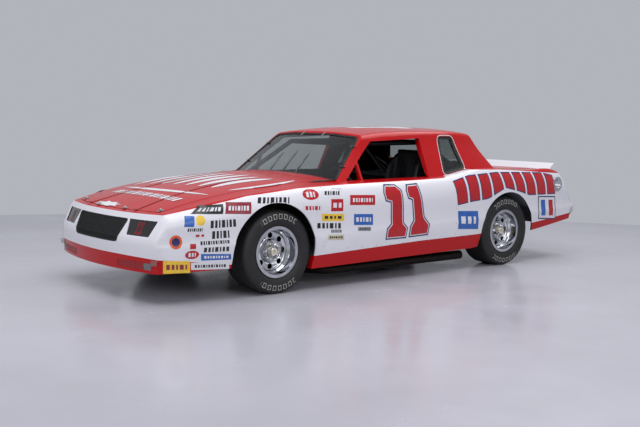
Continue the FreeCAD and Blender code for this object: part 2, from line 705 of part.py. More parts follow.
def build_body():
    """Nose, fenders, hood, doors, quarters, decklid, tail, roof and glass."""
    outer = feature("body_outer", body_form(0))
    inner = feature("body_inner", body_form(S.skin, open_below=True))
    deep = feature("body_deep", body_form(S.door_wall, open_below=True))
    skin = cut("body_skin", outer, inner)
    wall = cut("body_wall", outer, deep)
    cabin_inner = feature("cabin_inner", cabin_form(S.pillar))
    far = HALF + S.overrun
    high = SKY
    hood_front = NOSE - S.nose_tuck / 2 - S.nose_rake - S.hood_lip

    def hood_tool(name, grow, grow_back):
        """Outline of the hood seen from above, grown by the shut line."""
        front_y = S.hood_front_width / 2 + grow
        rear_y = S.hood_rear_width / 2 + grow
        back = FRONT_AXLE - S.hood_back_setback - grow_back
        drop_share = (S.hood_front_width / S.body_width)
        front_edge = S.nose_sweep * (drop_share * drop_share)
        corners = [
            Vector(hood_front + grow - front_edge, front_y, 0),
            Vector(hood_front + grow, 0, 0),
            Vector(hood_front + grow - front_edge, -front_y, 0),
            Vector(back - S.hood_back_sweep, -rear_y, 0),
            Vector(back, 0, 0),
            Vector(back - S.hood_back_sweep, rear_y, 0),
        ]
        edges = [
            Part.Arc(corners[0], corners[1], corners[2]).toShape(),
            Part.makeLine(corners[2], corners[3]),
            Part.Arc(corners[3], corners[4], corners[5]).toShape(),
            Part.makeLine(corners[5], corners[0]),
        ]
        face = Part.Face(Part.Wire(edges))
        face.translate(Vector(0, 0, S.ledge_height))
        return feature(name, face.extrude(Vector(0, 0, high - S.ledge_height)))

    hood_in = hood_tool("hood_outline", NOTHING, NOTHING)
    hood_out = hood_tool("hood_opening", S.panel_gap, S.cowl_gap)
    deck_in = block("deck_outline", (DECK_REAR, -S.deck_front),
                    (-S.deck_width / 2, S.deck_width / 2), (S.ledge_height, high))
    gap = S.panel_gap
    deck_out = block("deck_opening", (DECK_REAR - gap, -S.deck_front + gap),
                     (-S.deck_width / 2 - gap, S.deck_width / 2 + gap), (S.ledge_height, high))

    def arch(name, axle, radius, lead, flare_front, flare_rear):
        """Wheel opening: a round top that runs out to the sill."""
        centre_x = axle + lead
        round_top = rod(f"{name}_round", (centre_x, -far, S.tyre_radius), "Y", far * 2, radius)
        mouth = prism(f"{name}_mouth", "XZ", [
            (centre_x - radius, S.tyre_radius),
            (centre_x - radius - flare_rear, -S.overrun),
            (centre_x + radius + flare_front, -S.overrun),
            (centre_x + radius, S.tyre_radius),
        ], -far, far)
        return fused(name, round_top, mouth)

    front_arch = arch("front_arch", FRONT_AXLE, S.front_arch_radius, S.arch_lead,
                      S.arch_lead, -S.arch_lead * 1.4)
    rear_arch = arch("rear_arch", REAR_AXLE, S.rear_arch_radius, NOTHING,
                     S.rear_arch_flare, -S.arch_lead)
    half_side = (NOTHING, far)
    whole = (-far, far)

    cowl_low = S.belt_height * 0.9
    cowl_back = COWL - S.windshield_sweep
    cowl_zone = block("cowl_zone", (cowl_back, DOOR_FRONT + gap * 3),
                      (-S.cabin_width / 2, S.cabin_width / 2), (cowl_low, high))

    nose_zone = block("nose_zone", (NOSE_SEAM, NOSE + S.overrun), whole, (NOTHING, high))
    nose = cut("nose", common("nose_skin", skin, nose_zone), hood_out)
    fender_zone = block("fender_zone", (DOOR_FRONT, NOSE_SEAM), half_side, (NOTHING, high))
    rocker_low = block("rocker_cut", (REAR_AXLE, FRONT_AXLE), half_side, (NOTHING, ROCKER_TOP))
    fender = cut("fender", common("fender_skin", skin, fender_zone), hood_out, front_arch,
                 cowl_zone, rocker_low)
    piece("front_fender_left", fender)
    piece("front_fender_right", mirrored("fender_right", fender))
    door_zone = block("door_zone", (DOOR_REAR, DOOR_FRONT), half_side, (ROCKER_TOP, high))
    door = cut("door", common("door_wall", wall, door_zone), cabin_inner, cowl_zone)
    piece("door_left", door)
    piece("door_right", mirrored("door_right_half", door))
    rocker_zone = block("rocker_zone", (REAR_AXLE, FRONT_AXLE), half_side, (NOTHING, ROCKER_TOP))
    rocker = cut("rocker", common("rocker_wall", wall, rocker_zone), front_arch, rear_arch)
    piece("rocker_panels", fused("rockers", rocker, mirrored("rocker_right_half", rocker)))
    quarter_zone = block("quarter_zone", (TAIL_SEAM, DOOR_REAR), half_side, (NOTHING, high))
    filler_zone = block("filler_zone", (-S.deck_front - gap, BACK_BASE + S.backlight_sweep + S.pillar),
                        (-S.deck_width / 2, S.deck_width / 2), (S.ledge_height, high))
    quarter = cut("quarter", common("quarter_skin", skin, quarter_zone), deck_out, rear_arch,
                  cabin_inner, rocker_low, filler_zone)
    piece("quarter_panel_right", mirrored("quarter_right_half", quarter))
    piece("quarter_panel_left", build_fuel_filler(quarter, outer))
    filler = cut("filler", common("filler_skin", skin, filler_zone), deck_out, cabin_inner)
    piece("deck_filler_panel", filler)
    tail_zone = block("tail_zone", (TAIL - S.overrun, TAIL_SEAM), whole, (NOTHING, high))
    tail = cut("tail", common("tail_skin", skin, tail_zone), deck_out)
    piece("tail_panel", tail)
    cowl = cut("cowl", common("cowl_skin", skin, cowl_zone), hood_out, cabin_inner)
    piece("cowl_panel", cowl)
    hood = common("hood_skin", skin, hood_in)
    decklid = common("decklid_skin", skin, deck_in)
    build_nose(nose)
    build_roof(outer, cabin_inner)
    build_hinges(inner, hood, decklid)
    build_spoiler(outer)
    build_floor(inner, deep, (PIECES["door_left"], PIECES["door_right"]))
    build_cabin(cabin_inner)


def build_fuel_filler(quarter, outer):
    """Filler neck with its rim, seated in the left quarter panel; gives the panel with its hole."""
    x = REAR_AXLE - S.fuel_filler_setback
    z = S.fuel_filler_height
    face = HALF - S.fuel_filler_tuck
    foot = face - S.fuel_filler_depth
    depth = S.fuel_filler_depth
    neck = rod("filler_neck", (x, foot, z), "Y", depth, S.fuel_filler_neck)
    disc = rod("filler_disc", (x, face - S.overrun, z), "Y", S.overrun, S.fuel_filler_rim)
    rim = cut("filler_rim", disc, outer)
    bore = rod("filler_bore", (x, foot + S.sheet_wall, z), "Y", depth, S.fuel_filler_bore)
    piece("fuel_filler", cut("filler_cup", fused("filler_body", neck, rim), bore))
    hole = rod("filler_hole", (x, foot, z), "Y", depth, S.fuel_filler_neck + S.seat_gap)
    return cut("quarter_with_filler", quarter, hole)


def nose_slab(name, inset, wall):
    """A curved slab that follows the nose face between two insets."""
    front = swept_profile(body_profile(inset, True), HALF)
    back = swept_profile(body_profile(inset + wall, True), HALF)
    return feature(name, front.cut(back))


def build_nose(nose):
    """Grille, lamp covers and valance ducts in the nose piece."""
    reach = (NOSE_SEAM, NOSE + S.overrun)
    top = S.ledge_height + S.nose_rake_rise * 0.80
    grille_low = S.ledge_height - S.nose_rake_rise * 0.27
    grille_top_y = HALF * 0.425
    grille_low_y = HALF * 0.365
    grille_hole = prism("grille_hole", "YZ", [
        (grille_top_y, top), (-grille_top_y, top),
        (-grille_low_y, grille_low), (grille_low_y, grille_low)], *reach, corner=S.skin * 1.6)
    lamp_low = S.ledge_height + S.nose_rake_rise * 0.10
    lamp = prism("lamp_hole", "YZ", [
        (HALF * 0.47, lamp_low), (HALF * 0.735, lamp_low),
        (HALF * 0.765, top), (HALF * 0.435, top)], *reach, corner=S.skin / 3)
    lamp_right = mirrored("lamp_hole_right", lamp)
    duct_low = S.valance_height + S.skin * 2
    duct_high = S.valance_height + S.skin * 6.4
    duct = prism("duct_hole", "YZ", [
        (HALF * 0.37, duct_low), (HALF * 0.77, duct_low),
        (HALF * 0.77, duct_high), (HALF * 0.37, duct_high)], *reach)
    duct_right = mirrored("duct_hole_right", duct)
    opened = cut("nose_opened", nose, grille_hole, lamp, lamp_right, duct, duct_right)
    piece("nose_piece", opened)
    slab = nose_slab("grille_slab", S.glass, S.glass)
    grille = common("grille_panel", slab, grille_hole)
    lamp_slab = nose_slab("lamp_slab", S.skin / 2, S.glass)
    covers = common("lamp_left", lamp_slab, lamp)
    covers_right = common("lamp_right", lamp_slab, lamp_right)
    piece("headlamp_covers", fused("lamp_covers", covers, covers_right))
    duct_slab = nose_slab("duct_slab", S.skin / 2, S.glass)
    duct_left = common("duct_left", duct_slab, duct)
    duct_other = common("duct_other", duct_slab, duct_right)
    piece("grille_and_duct_screens", fused("front_screens", grille, duct_left, duct_other))


def side_window(name, points, corner):
    """A side opening cut through both walls of the greenhouse."""
    far = HALF + S.overrun
    return prism(name, "XZ", points, S.roof_width / 4, far, corner=corner)


def build_roof(outer, cabin_inner):
    """Roof with its pillars in one welded piece, and the glass set in it."""
    shell = cut("cabin_shell", feature("cabin_outer", cabin_form(0)), cabin_inner, outer)
    sill = S.belt_height + S.glass
    screen_base = COWL - S.windshield_sweep
    high_front = GLASS_TOP - S.window_top_lead
    bar_front = COWL - S.vent_setback
    bar_rear = bar_front - S.vent_bar
    edge_lean = (S.window_top_front - sill) / (screen_base - high_front)

    def pillar_edge(x):
        """Height of the windshield post's rear edge."""
        return sill + (screen_base - x) * edge_lean

    post_front = DOOR_REAR + S.middle_post - S.glass
    door_hole = side_window("door_window", [
        (bar_rear, sill),
        (bar_rear, pillar_edge(bar_rear)),
        (high_front, S.window_top_front),
        (post_front - S.glass * 4, S.window_top_rear),
        (post_front, sill)], S.skin)
    vent_hole = side_window("vent_window", [
        (screen_base, sill),
        (bar_front, pillar_edge(bar_front)),
        (bar_front, sill)], S.skin / 2)
    post_rear = DOOR_REAR - S.glass
    quarter_head = post_front - S.glass * 4 - S.middle_post_top
    quarter_hole = side_window("quarter_window", [
        (post_rear, S.quarter_window_low),
        (quarter_head, S.quarter_window_top),
        (quarter_head - S.quarter_window_head, S.quarter_window_top),
        (post_rear - S.quarter_window_length, S.quarter_window_low + S.quarter_window_rise)], S.skin)
    middle = (GLASS_TOP + BACK_TOP) / 2
    front_hole = prism("windshield_hole", "YZ", [
        (S.windshield_low_width / 2, S.belt_height),
        (-S.windshield_low_width / 2, S.belt_height),
        (-S.windshield_top_width / 2, S.windshield_top),
        (-S.windshield_top_width / 4, S.windshield_top + S.windshield_bow),
        (S.windshield_top_width / 4, S.windshield_top + S.windshield_bow),
        (S.windshield_top_width / 2, S.windshield_top)], middle, NOSE, corner=S.pillar)
    back_hole = prism("backlight_hole", "YZ", [
        (S.backlight_low_width / 2, S.backlight_low),
        (-S.backlight_low_width / 2, S.backlight_low),
        (-S.backlight_top_width / 2, S.backlight_top),
        (S.backlight_top_width / 2, S.backlight_top)], TAIL, middle, corner=S.pillar)
    holes = both_sides("door_window_right", door_hole) + both_sides("vent_window_right", vent_hole)
    quarter_other = mirrored("quarter_window_right", quarter_hole)
    roof = cut("roof_cut", shell, *holes, front_hole, back_hole, quarter_hole, quarter_other)
    piece("roof_and_pillars", roof)
    near = feature("glass_outer", cabin_form(S.glass_inset))
    back = feature("glass_inner", cabin_form(S.glass_inset + S.glass))
    pane = cut("glass_pane", near, back, outer)
    piece("windshield", common("windshield_pane", pane, front_hole))
    piece("backlight", common("backlight_pane", pane, back_hole))
    left = common("quarter_glass_left", pane, quarter_hole)
    right = common("quarter_glass_right", pane, quarter_other)
    piece("quarter_windows", fused("quarter_glass", left, right))



# Chassis, running gear and cabin


def around(middle, size):
    """Low and high place of a size laid about its middle."""
    return (middle - size / 2, middle + size / 2)


def both_sides(name, thing):
    """A piece and its twin across the car."""
    return [thing, mirrored(name, thing)]


def bar(start, end, radius):
    """Straight round bar between two points."""
    line = Vector(*end) - Vector(*start)
    return Part.makeCylinder(radius, line.Length, Vector(*start), line)


def build_frame():
    """Welded frame: main rails, front and rear clips, cross members, spring and shock mounts."""
    half = S.rail_width / 2
    members = []

    def member(name, x, y, z):
        members.append(block(name, x, y, z))

    for side, sign in (("left", 1), ("right", -1)):
        rail = S.rail_spread / 2 * sign
        clip = S.clip_spread / 2 * sign
        tail = S.tail_rail_spread / 2 * sign
        member(f"main_rail_{side}", (BULKHEAD, FIREWALL), around(rail, S.rail_width),
               (S.rail_bottom, RAIL_TOP))
        member(f"clip_rail_{side}", (FIREWALL, FIREWALL + S.clip_length),
               around(clip, S.rail_width), (S.clip_height, CLIP_TOP))
        member(f"tail_rail_{side}", (BULKHEAD - S.tail_rail_length, BULKHEAD - S.rail_width),
               around(tail, S.rail_width), (S.kickup_height, KICK_TOP))
        inner, outer = (tail - half, rail + half) if sign > 0 else (rail - half, tail + half)
        member(f"kickup_post_{side}", (BULKHEAD - S.rail_width, BULKHEAD), (inner, outer),
               (S.rail_bottom, KICK_TOP))
        low, high = (S.engine_width / 2, S.clip_spread / 2 - half)
        mount = (low, high) if sign > 0 else (-high, -low)
        engine_front = FIREWALL + S.engine_gap
        member(f"engine_mount_{side}", around(engine_front + S.engine_length / 2, S.rail_height),
               mount, around(S.clip_height + half, S.rail_width / 2))
        for number, end in enumerate((-1, 1)):
            pivot = FRONT_AXLE + S.arm_spread / 2 * end
            member(f"tower_{side}_{number}", around(pivot, S.upright_size),
                   around(clip, S.rail_width), (CLIP_TOP, S.shock_top))
        outer_y = S.shock_offset + S.shock_radius
        plate = (S.clip_spread / 2 - half, outer_y) if sign > 0 else (-outer_y, half - S.clip_spread / 2)
        member(f"shock_plate_{side}", around(FRONT_AXLE, S.arm_spread + S.upright_size), plate,
               (S.shock_top, S.shock_top + S.sheet_wall * 2))
    across = (-RAIL_OUT, RAIL_OUT)
    member("firewall_cross", (FIREWALL, FIREWALL + S.rail_width), across, (S.rail_bottom, CLIP_TOP))
    member("nose_cross", around(FIREWALL + S.clip_length, S.rail_width),
           (-CLIP_OUT, CLIP_OUT), (S.clip_height, CLIP_TOP))
    member("kickup_cross", (BULKHEAD - S.rail_width, BULKHEAD), across,
           (S.kickup_height, KICK_TOP))
    member("tail_cross", around(BULKHEAD - S.tail_rail_length, S.rail_width),
           (-TAIL_OUT, TAIL_OUT), (S.kickup_height, KICK_TOP))
    arm_front = REAR_AXLE + S.truck_arm_reach
    member("arm_cross", (arm_front, arm_front + S.rail_width),
           (-S.rail_spread / 2, S.rail_spread / 2), (S.rail_bottom, RAIL_TOP))
    for number, end in enumerate((-1, 1)):
        pivot = FRONT_AXLE + S.arm_spread / 2 * end
        member(f"arm_pivot_cross_{number}", around(pivot, S.upright_size), (-CLIP_OUT, CLIP_OUT),
               (LOWER_JOINT - S.arm_thickness, S.clip_height))
    room = S.tunnel_width / 2 - S.sheet_wall
    opening = block("gearbox_room", (FIREWALL - S.overrun, FIREWALL + S.rail_width + S.overrun),
                    (-room, room), (S.rail_bottom + S.rail_height / 2, TUNNEL_TOP - S.sheet_wall))
    piece("frame_rails", cut("frame_cut", fused("frame", *members), opening))


def build_floor(inner, deep, doors):
    """Floor with its tunnel, firewall, bulkhead with parcel shelf, boot floor and wheel tubs."""
    far = HALF + S.overrun
    sheet_wall = S.sheet_wall
    pan = block("floor_sheet", (BULKHEAD, FIREWALL), (-far, far), (RAIL_TOP, FLOOR_TOP))
    seated = common("floor_in_body", pan, deep)
    tunnel = block("tunnel_outside", (BULKHEAD, FIREWALL),
                   (-S.tunnel_width / 2, S.tunnel_width / 2), (RAIL_TOP, TUNNEL_TOP))
    hollow = block("tunnel_inside", (BULKHEAD - S.overrun, FIREWALL + S.overrun),
                   (-S.tunnel_width / 2 + sheet_wall, S.tunnel_width / 2 - sheet_wall),
                   (S.rail_bottom, TUNNEL_TOP - sheet_wall))
    piece("floor_pan", cut("floor", fused("floor_and_tunnel", seated, tunnel), hollow))
    wall = block("firewall_sheet", (FIREWALL, FIREWALL + sheet_wall), (-far, far),
                 (CLIP_TOP, SKY))
    opening = block("gearbox_opening", (FIREWALL - S.overrun, FIREWALL + S.overrun),
                    (-S.tunnel_width / 2 + sheet_wall, S.tunnel_width / 2 - sheet_wall),
                    (NOTHING, TUNNEL_TOP - sheet_wall))
    piece("firewall", cut("firewall_cut", common("firewall_in_body", wall, inner), opening, *doors))
    back = block("bulkhead_sheet", (BULKHEAD - sheet_wall, BULKHEAD), (-far, far),
                 (KICK_TOP, S.shelf_height))
    low_y = S.tail_rail_spread / 2 - S.rail_width / 2
    low = block("bulkhead_low", (BULKHEAD - sheet_wall, BULKHEAD), (-low_y, low_y),
                (RAIL_TOP, S.kickup_height))
    notch = block("bulkhead_notch", around(BULKHEAD, S.overrun),
                  (-S.tunnel_width / 2 + sheet_wall, S.tunnel_width / 2 - sheet_wall),
                  (NOTHING, TUNNEL_TOP - sheet_wall))
    shelf = block("shelf_sheet", (SHELF_BACK, BULKHEAD), (-far, far),
                  (S.shelf_height, S.shelf_height + sheet_wall))
    lip = block("shelf_lip", (SHELF_BACK, SHELF_BACK + sheet_wall), (-far, far),
                (S.shelf_height, SKY))
    inner_wall = common("bulkhead_in_body", fused("bulkhead_parts", back, shelf, lip, low), inner)
    stays = feature("stay_holes", cage_stays(S.tube_radius + sheet_wall))
    piece("rear_bulkhead_and_shelf", cut("bulkhead_cut", inner_wall, stays, notch))
    boot = block("boot_sheet", (TAIL, BULKHEAD - sheet_wall), (-far, far),
                 (KICK_TOP, KICK_TOP + sheet_wall))
    cell_x = (REAR_AXLE - S.cell_setback - S.cell_length, REAR_AXLE - S.cell_setback)
    cell_y = (-S.cell_width / 2, S.cell_width / 2)
    cell_z = (KICK_TOP + S.rail_width / 2 - S.cell_height, KICK_TOP + S.rail_width / 2)
    cell = block("cell", cell_x, cell_y, cell_z)
    rounded = doc.addObject("Part::Fillet", "cell_rounded")
    rounded.Base = cell
    doc.recompute()
    rounded.Edges = [(n, float(S.sheet_wall), float(S.sheet_wall)) for n in range(1, 13)]
    piece("fuel_cell", rounded)
    hole = block("cell_hole", cell_x, cell_y, (S.rail_bottom, SKY))
    wheel_y = S.half_track - S.tub_width / 2
    room = both_sides("tub_room_right", rod(
        "tub_room", (REAR_AXLE, wheel_y, S.tyre_radius), "Y", far - wheel_y,
        S.rear_arch_radius - sheet_wall))
    boot_in = common("boot_in_body", boot, inner)
    stay_feet = feature("stay_feet", cage_stays(S.tube_radius + S.seat_gap))
    piece("boot_floor", cut("boot_cut", boot_in, hole, *room, stay_feet))
    shell = rod("tub_shell", (REAR_AXLE, wheel_y - sheet_wall, S.tyre_radius), "Y",
                far - wheel_y + sheet_wall, S.rear_arch_radius)
    above = block("tub_above", around(REAR_AXLE, S.rear_arch_radius * 2 + S.overrun),
                  (NOTHING, far), (KICK_TOP + sheet_wall, SKY))
    tub = common("tub_in_body", cut("tub_hollow", shell, room[0]), above, inner)
    piece("rear_wheel_tubs", fused("tubs", tub, mirrored("tub_right", tub)))


# Roll cage joints: along the car from the front axle (share of the wheelbase), across (share of
# half the cabin width), above the floor (share of the roof height)
CAGE_shares = {
    "hoop_foot": (0.747, 0.767, 0.1996),
    "hoop_belt": (0.747, 0.860, 0.6323),
    "hoop_shoulder": (0.747, 0.655, 0.8576),
    "hoop_top": (0.747, 0.550, 0.8941),
    "roof_front": (0.414, 0.525, 0.8853),
    "pillar_foot": (0.283, 0.845, 0.635),
    "leg_foot": (0.238, 0.767, 0.1996),
    "stay_foot": (1.130, 0.577, 0.4278),
    "dash_end": (0.2717, 0.826, 0.5236),
}
DOOR_BAR_shares = (0.2618, 0.3507, 0.4397)
DOOR_BAR_BOW_share = 0.985


def cage_point(name, side):
    along, out, up = CAGE_shares[name]
    return (FRONT_AXLE - S.wheelbase * along, S.cabin_width / 2 * out * side, S.roof_height * up)


def cage_stays(radius):
    """The two rear stays of the roll cage, at any radius, so that what they pass can be cut."""
    stays = []
    for side in (1, -1):
        foot = cage_point("stay_foot", side)
        stay = bar(cage_point("hoop_shoulder", side), foot, radius)
        stays.append(stay.fuse(Part.makeSphere(radius, Vector(*foot))))
    return Part.makeCompound(stays)


def build_cage():
    """Roll cage of straight tubes meeting at ball-shaped welds."""
    radius = S.tube_radius
    shapes = []
    joints = set()
    runs = []
    for side in (1, -1):
        runs.append([("hoop_foot", side), ("hoop_belt", side), ("hoop_shoulder", side),
                     ("hoop_top", side)])
        runs.append([("hoop_top", side), ("roof_front", side), ("pillar_foot", side),
                     ("leg_foot", side)])
        runs.append([("hoop_shoulder", side), ("stay_foot", side)])
    for name in ("hoop_top", "roof_front", "dash_end", "hoop_belt"):
        runs.append([(name, 1), (name, -1)])
    runs.append([("hoop_top", -1), ("hoop_foot", 1)])
    for run in runs:
        for here, there in zip(run, run[1:]):
            shapes.append(bar(cage_point(*here), cage_point(*there), radius))
            joints.update((here, there))
    for side in (1, -1):
        foot, belt = cage_point("hoop_foot", side), cage_point("hoop_belt", side)
        leg, pillar = cage_point("leg_foot", side), cage_point("pillar_foot", side)
        for up in DOOR_BAR_shares:
            z = S.roof_height * up
            rear_part = (z - foot[2]) / (belt[2] - foot[2])
            front_part = (z - leg[2]) / (pillar[2] - leg[2])
            rear = (foot[0], foot[1] + (belt[1] - foot[1]) * rear_part, z)
            front = (leg[0] + (pillar[0] - leg[0]) * front_part,
                     leg[1] + (pillar[1] - leg[1]) * front_part, z)
            bow = ((rear[0] + front[0]) / 2, S.cabin_width / 2 * DOOR_BAR_BOW_share * side, z)
            shapes.append(bar(rear, bow, radius))
            shapes.append(bar(bow, front, radius))
            shapes.append(Part.makeSphere(radius, Vector(*bow)))
    for name, side in joints:
        shapes.append(Part.makeSphere(radius, Vector(*cage_point(name, side))))
    whole = shapes[0].fuse(shapes[1:])
    floor_cut = Part.makeBox(S.overall_length, S.body_width, S.overrun * 8,
                             Vector(TAIL, -HALF, FLOOR_TOP - S.overrun * 8))
    kick_cut = Part.makeBox(S.overall_length / 2, S.body_width, S.kickup_height,
                            Vector(TAIL, -HALF, KICK_TOP - S.kickup_height))
    cage = feature("cage_tubes", whole.cut([floor_cut, kick_cut]))
    piece("roll_cage", cage)


def build_front_suspension():
    """Control arms and shock absorbers, then the knuckles that carry the front wheels."""
    spread, half_bar = S.arm_spread / 2, S.arm_bar / 2
    tip = KINGPIN + half_bar
    outline = [
        (FRONT_AXLE - spread - half_bar, CLIP_OUT), (FRONT_AXLE - half_bar, tip - half_bar),
        Through((FRONT_AXLE, tip)), (FRONT_AXLE + half_bar, tip - half_bar),
        (FRONT_AXLE + spread + half_bar, CLIP_OUT)]
    window = [
        (FRONT_AXLE - spread + half_bar, CLIP_OUT), (FRONT_AXLE, KINGPIN - S.arm_bar),
        (FRONT_AXLE + spread - half_bar, CLIP_OUT)]
    low = (LOWER_JOINT - S.arm_thickness, LOWER_JOINT - S.pin_play)
    high = (UPPER_JOINT + S.pin_play, UPPER_JOINT + S.arm_thickness)
    lower = prism("lower_arm", "XY", outline, *low)
    upper = cut("upper_arm_cut", prism("upper_arm", "XY", outline, *high),
                prism("upper_arm_window", "XY", window, high[0] - S.overrun, high[1] + S.overrun))
    arms = both_sides("lower_arm_right", lower) + both_sides("upper_arm_right", upper)
    made = fused("control_arms", *arms)
    piece("front_control_arms", made)
    body = rod("front_shock", (FRONT_AXLE, S.shock_offset, low[1]), "Z",
               (S.shock_top - low[1]) / 2, S.shock_radius)
    shaft = rod("front_shock_shaft", (FRONT_AXLE, S.shock_offset, low[1]), "Z",
                S.shock_top - low[1], S.shock_radius / 2)
    front = fused("front_damper", body, shaft)
    base = (REAR_AXLE + S.spring_lead, S.spring_offset, S.truck_arm_height + S.truck_arm_size)
    spring = rod("rear_spring", base, "Z", S.kickup_height - base[2], S.spring_radius)
    shock_x = REAR_AXLE - S.axle_tube_radius - S.shock_radius
    rear = rod("rear_shock", (shock_x, S.tail_rail_spread / 2, S.tyre_radius + S.axle_tube_radius / 2),
               "Z", S.kickup_height - S.tyre_radius - S.axle_tube_radius / 2, S.shock_radius)
    dampers = both_sides("front_damper_right", front) + both_sides("rear_spring_right", spring)
    dampers += both_sides("rear_shock_right", rear)
    piece("springs_and_shocks", fused("dampers", *dampers))
    size = S.upright_size
    upright = block("upright", around(FRONT_AXLE, size), around(KINGPIN, size),
                    (LOWER_JOINT, UPPER_JOINT))
    face = KINGPIN + size / 2
    spindle = rod("spindle", (FRONT_AXLE, face, S.tyre_radius), "Y",
                  S.half_track + S.spindle_reach - face, S.spindle_radius)
    steer = block("steering_arm", (FRONT_AXLE, FRONT_AXLE + S.steer_arm),
                  (KINGPIN - size / 2, KINGPIN + size / 4),
                  (S.tyre_radius - size * 1.5, S.tyre_radius - size))
    play = S.brake_play
    middle = S.half_track - S.brake_inboard
    outer_r = S.brake_radius + play * 2.5
    slot = around(middle, S.brake_thickness + play * 2)
    ring = rod("caliper_round", (FRONT_AXLE, face, S.tyre_radius), "Y",
               slot[1] + size / 3 - face, outer_r)
    chunk = block("caliper_block", (FRONT_AXLE - outer_r, FRONT_AXLE - outer_r + size * 1.3),
                  (face, slot[1] + size / 3), around(S.tyre_radius, size * 2.2))
    disc_room = rod("disc_room", (FRONT_AXLE, slot[0], S.tyre_radius), "Y", slot[1] - slot[0],
                    S.brake_radius + play)
    caliper = cut("caliper", common("caliper_whole", chunk, ring), disc_room)
    carrier = block("caliper_carrier", (FRONT_AXLE - outer_r + size, FRONT_AXLE),
                    (face - size / 2, slot[0]), around(S.tyre_radius, size))
    knuckle = fused("knuckle", upright, spindle, steer, caliper, carrier)
    piece("knuckle_left", knuckle)
    piece("knuckle_right", mirrored("knuckle_other", knuckle))


def build_rear_axle():
    """Live rear axle with its trailing arms and the shaft that drives it."""
    tube_end = S.half_track - S.brake_inboard - S.brake_thickness / 2 - S.brake_play * 2
    tube = rod("axle_tube", (REAR_AXLE, -tube_end, S.tyre_radius), "Y", tube_end * 2,
               S.axle_tube_radius)
    reach = S.half_track + S.spindle_reach
    shaft = rod("axle_spindles", (REAR_AXLE, -reach, S.tyre_radius), "Y", reach * 2,
                S.spindle_radius)
    ball = doc.addObject("Part::Sphere", "differential_ball")
    bind(ball, "Radius", S.differential_radius)
    bind(ball, "Placement.Base.x", REAR_AXLE)
    bind(ball, "Placement.Base.z", S.tyre_radius)
    slab = block("differential_slab", around(REAR_AXLE, S.differential_radius * 3),
                 around(NOTHING, S.differential_width),
                 around(S.tyre_radius, S.differential_radius * 3))
    housing = common("differential", ball, slab)
    nose = rod("differential_nose", (REAR_AXLE, NOTHING, S.shaft_height), "X",
               S.differential_radius * 1.5, S.driveshaft_radius * 1.4)
    feet = block("shock_feet", (REAR_AXLE - S.axle_tube_radius - S.shock_radius * 2, REAR_AXLE),
                 (-TAIL_OUT + S.shock_radius / 4, TAIL_OUT - S.shock_radius / 4),
                 (S.tyre_radius, S.tyre_radius + S.axle_tube_radius / 2))
    arm_top = S.truck_arm_height + S.truck_arm_size
    saddle_half = S.truck_arm_size * 0.7
    saddles = block("axle_saddles", around(REAR_AXLE, saddle_half * 2),
                    (-S.truck_arm_rear - S.truck_arm_size / 2, S.truck_arm_rear + S.truck_arm_size / 2),
                    (arm_top, S.tyre_radius))
    clear = block("saddle_clear", around(REAR_AXLE, S.differential_radius * 2.4),
                  around(NOTHING, (S.truck_arm_rear - S.truck_arm_size / 2) * 2),
                  (NOTHING, S.tyre_radius + S.axle_tube_radius))
    brackets = cut("axle_brackets", fused("axle_bracket_blocks", feet, saddles), clear)
    piece("rear_axle", fused("axle", tube, shaft, housing, nose, brackets))
    front_x = REAR_AXLE + S.truck_arm_reach
    rear_x = REAR_AXLE - saddle_half
    half_size = S.truck_arm_size / 2
    arm = prism("truck_arm", "XY", [
        (rear_x, S.truck_arm_rear - half_size), (front_x, S.truck_arm_front - half_size),
        (front_x, S.truck_arm_front + half_size), (rear_x, S.truck_arm_rear + half_size)],
        S.truck_arm_height, arm_top)
    seat_x = REAR_AXLE + S.spring_lead
    pad = block("spring_pad", around(seat_x, S.spring_radius * 2),
                (S.truck_arm_rear - S.truck_arm_size * 1.5, S.spring_offset + S.spring_radius),
                (arm_top - S.sheet_wall * 2, arm_top))
    one = fused("arm_and_pad", arm, pad)
    piece("rear_trailing_arms", fused("truck_arms", *both_sides("truck_arm_right", one)))
    box_end = FIREWALL - S.gearbox_length
    gearbox = block("gearbox_case", (box_end, FIREWALL + S.engine_gap),
                    around(NOTHING, S.gearbox_width), around(S.shaft_height, S.gearbox_height))
    piece("gearbox", gearbox)
    start = REAR_AXLE + S.differential_radius * 1.5
    piece("driveshaft", rod("driveshaft_tube", (start, NOTHING, S.shaft_height), "X",
                            box_end - start, S.driveshaft_radius))


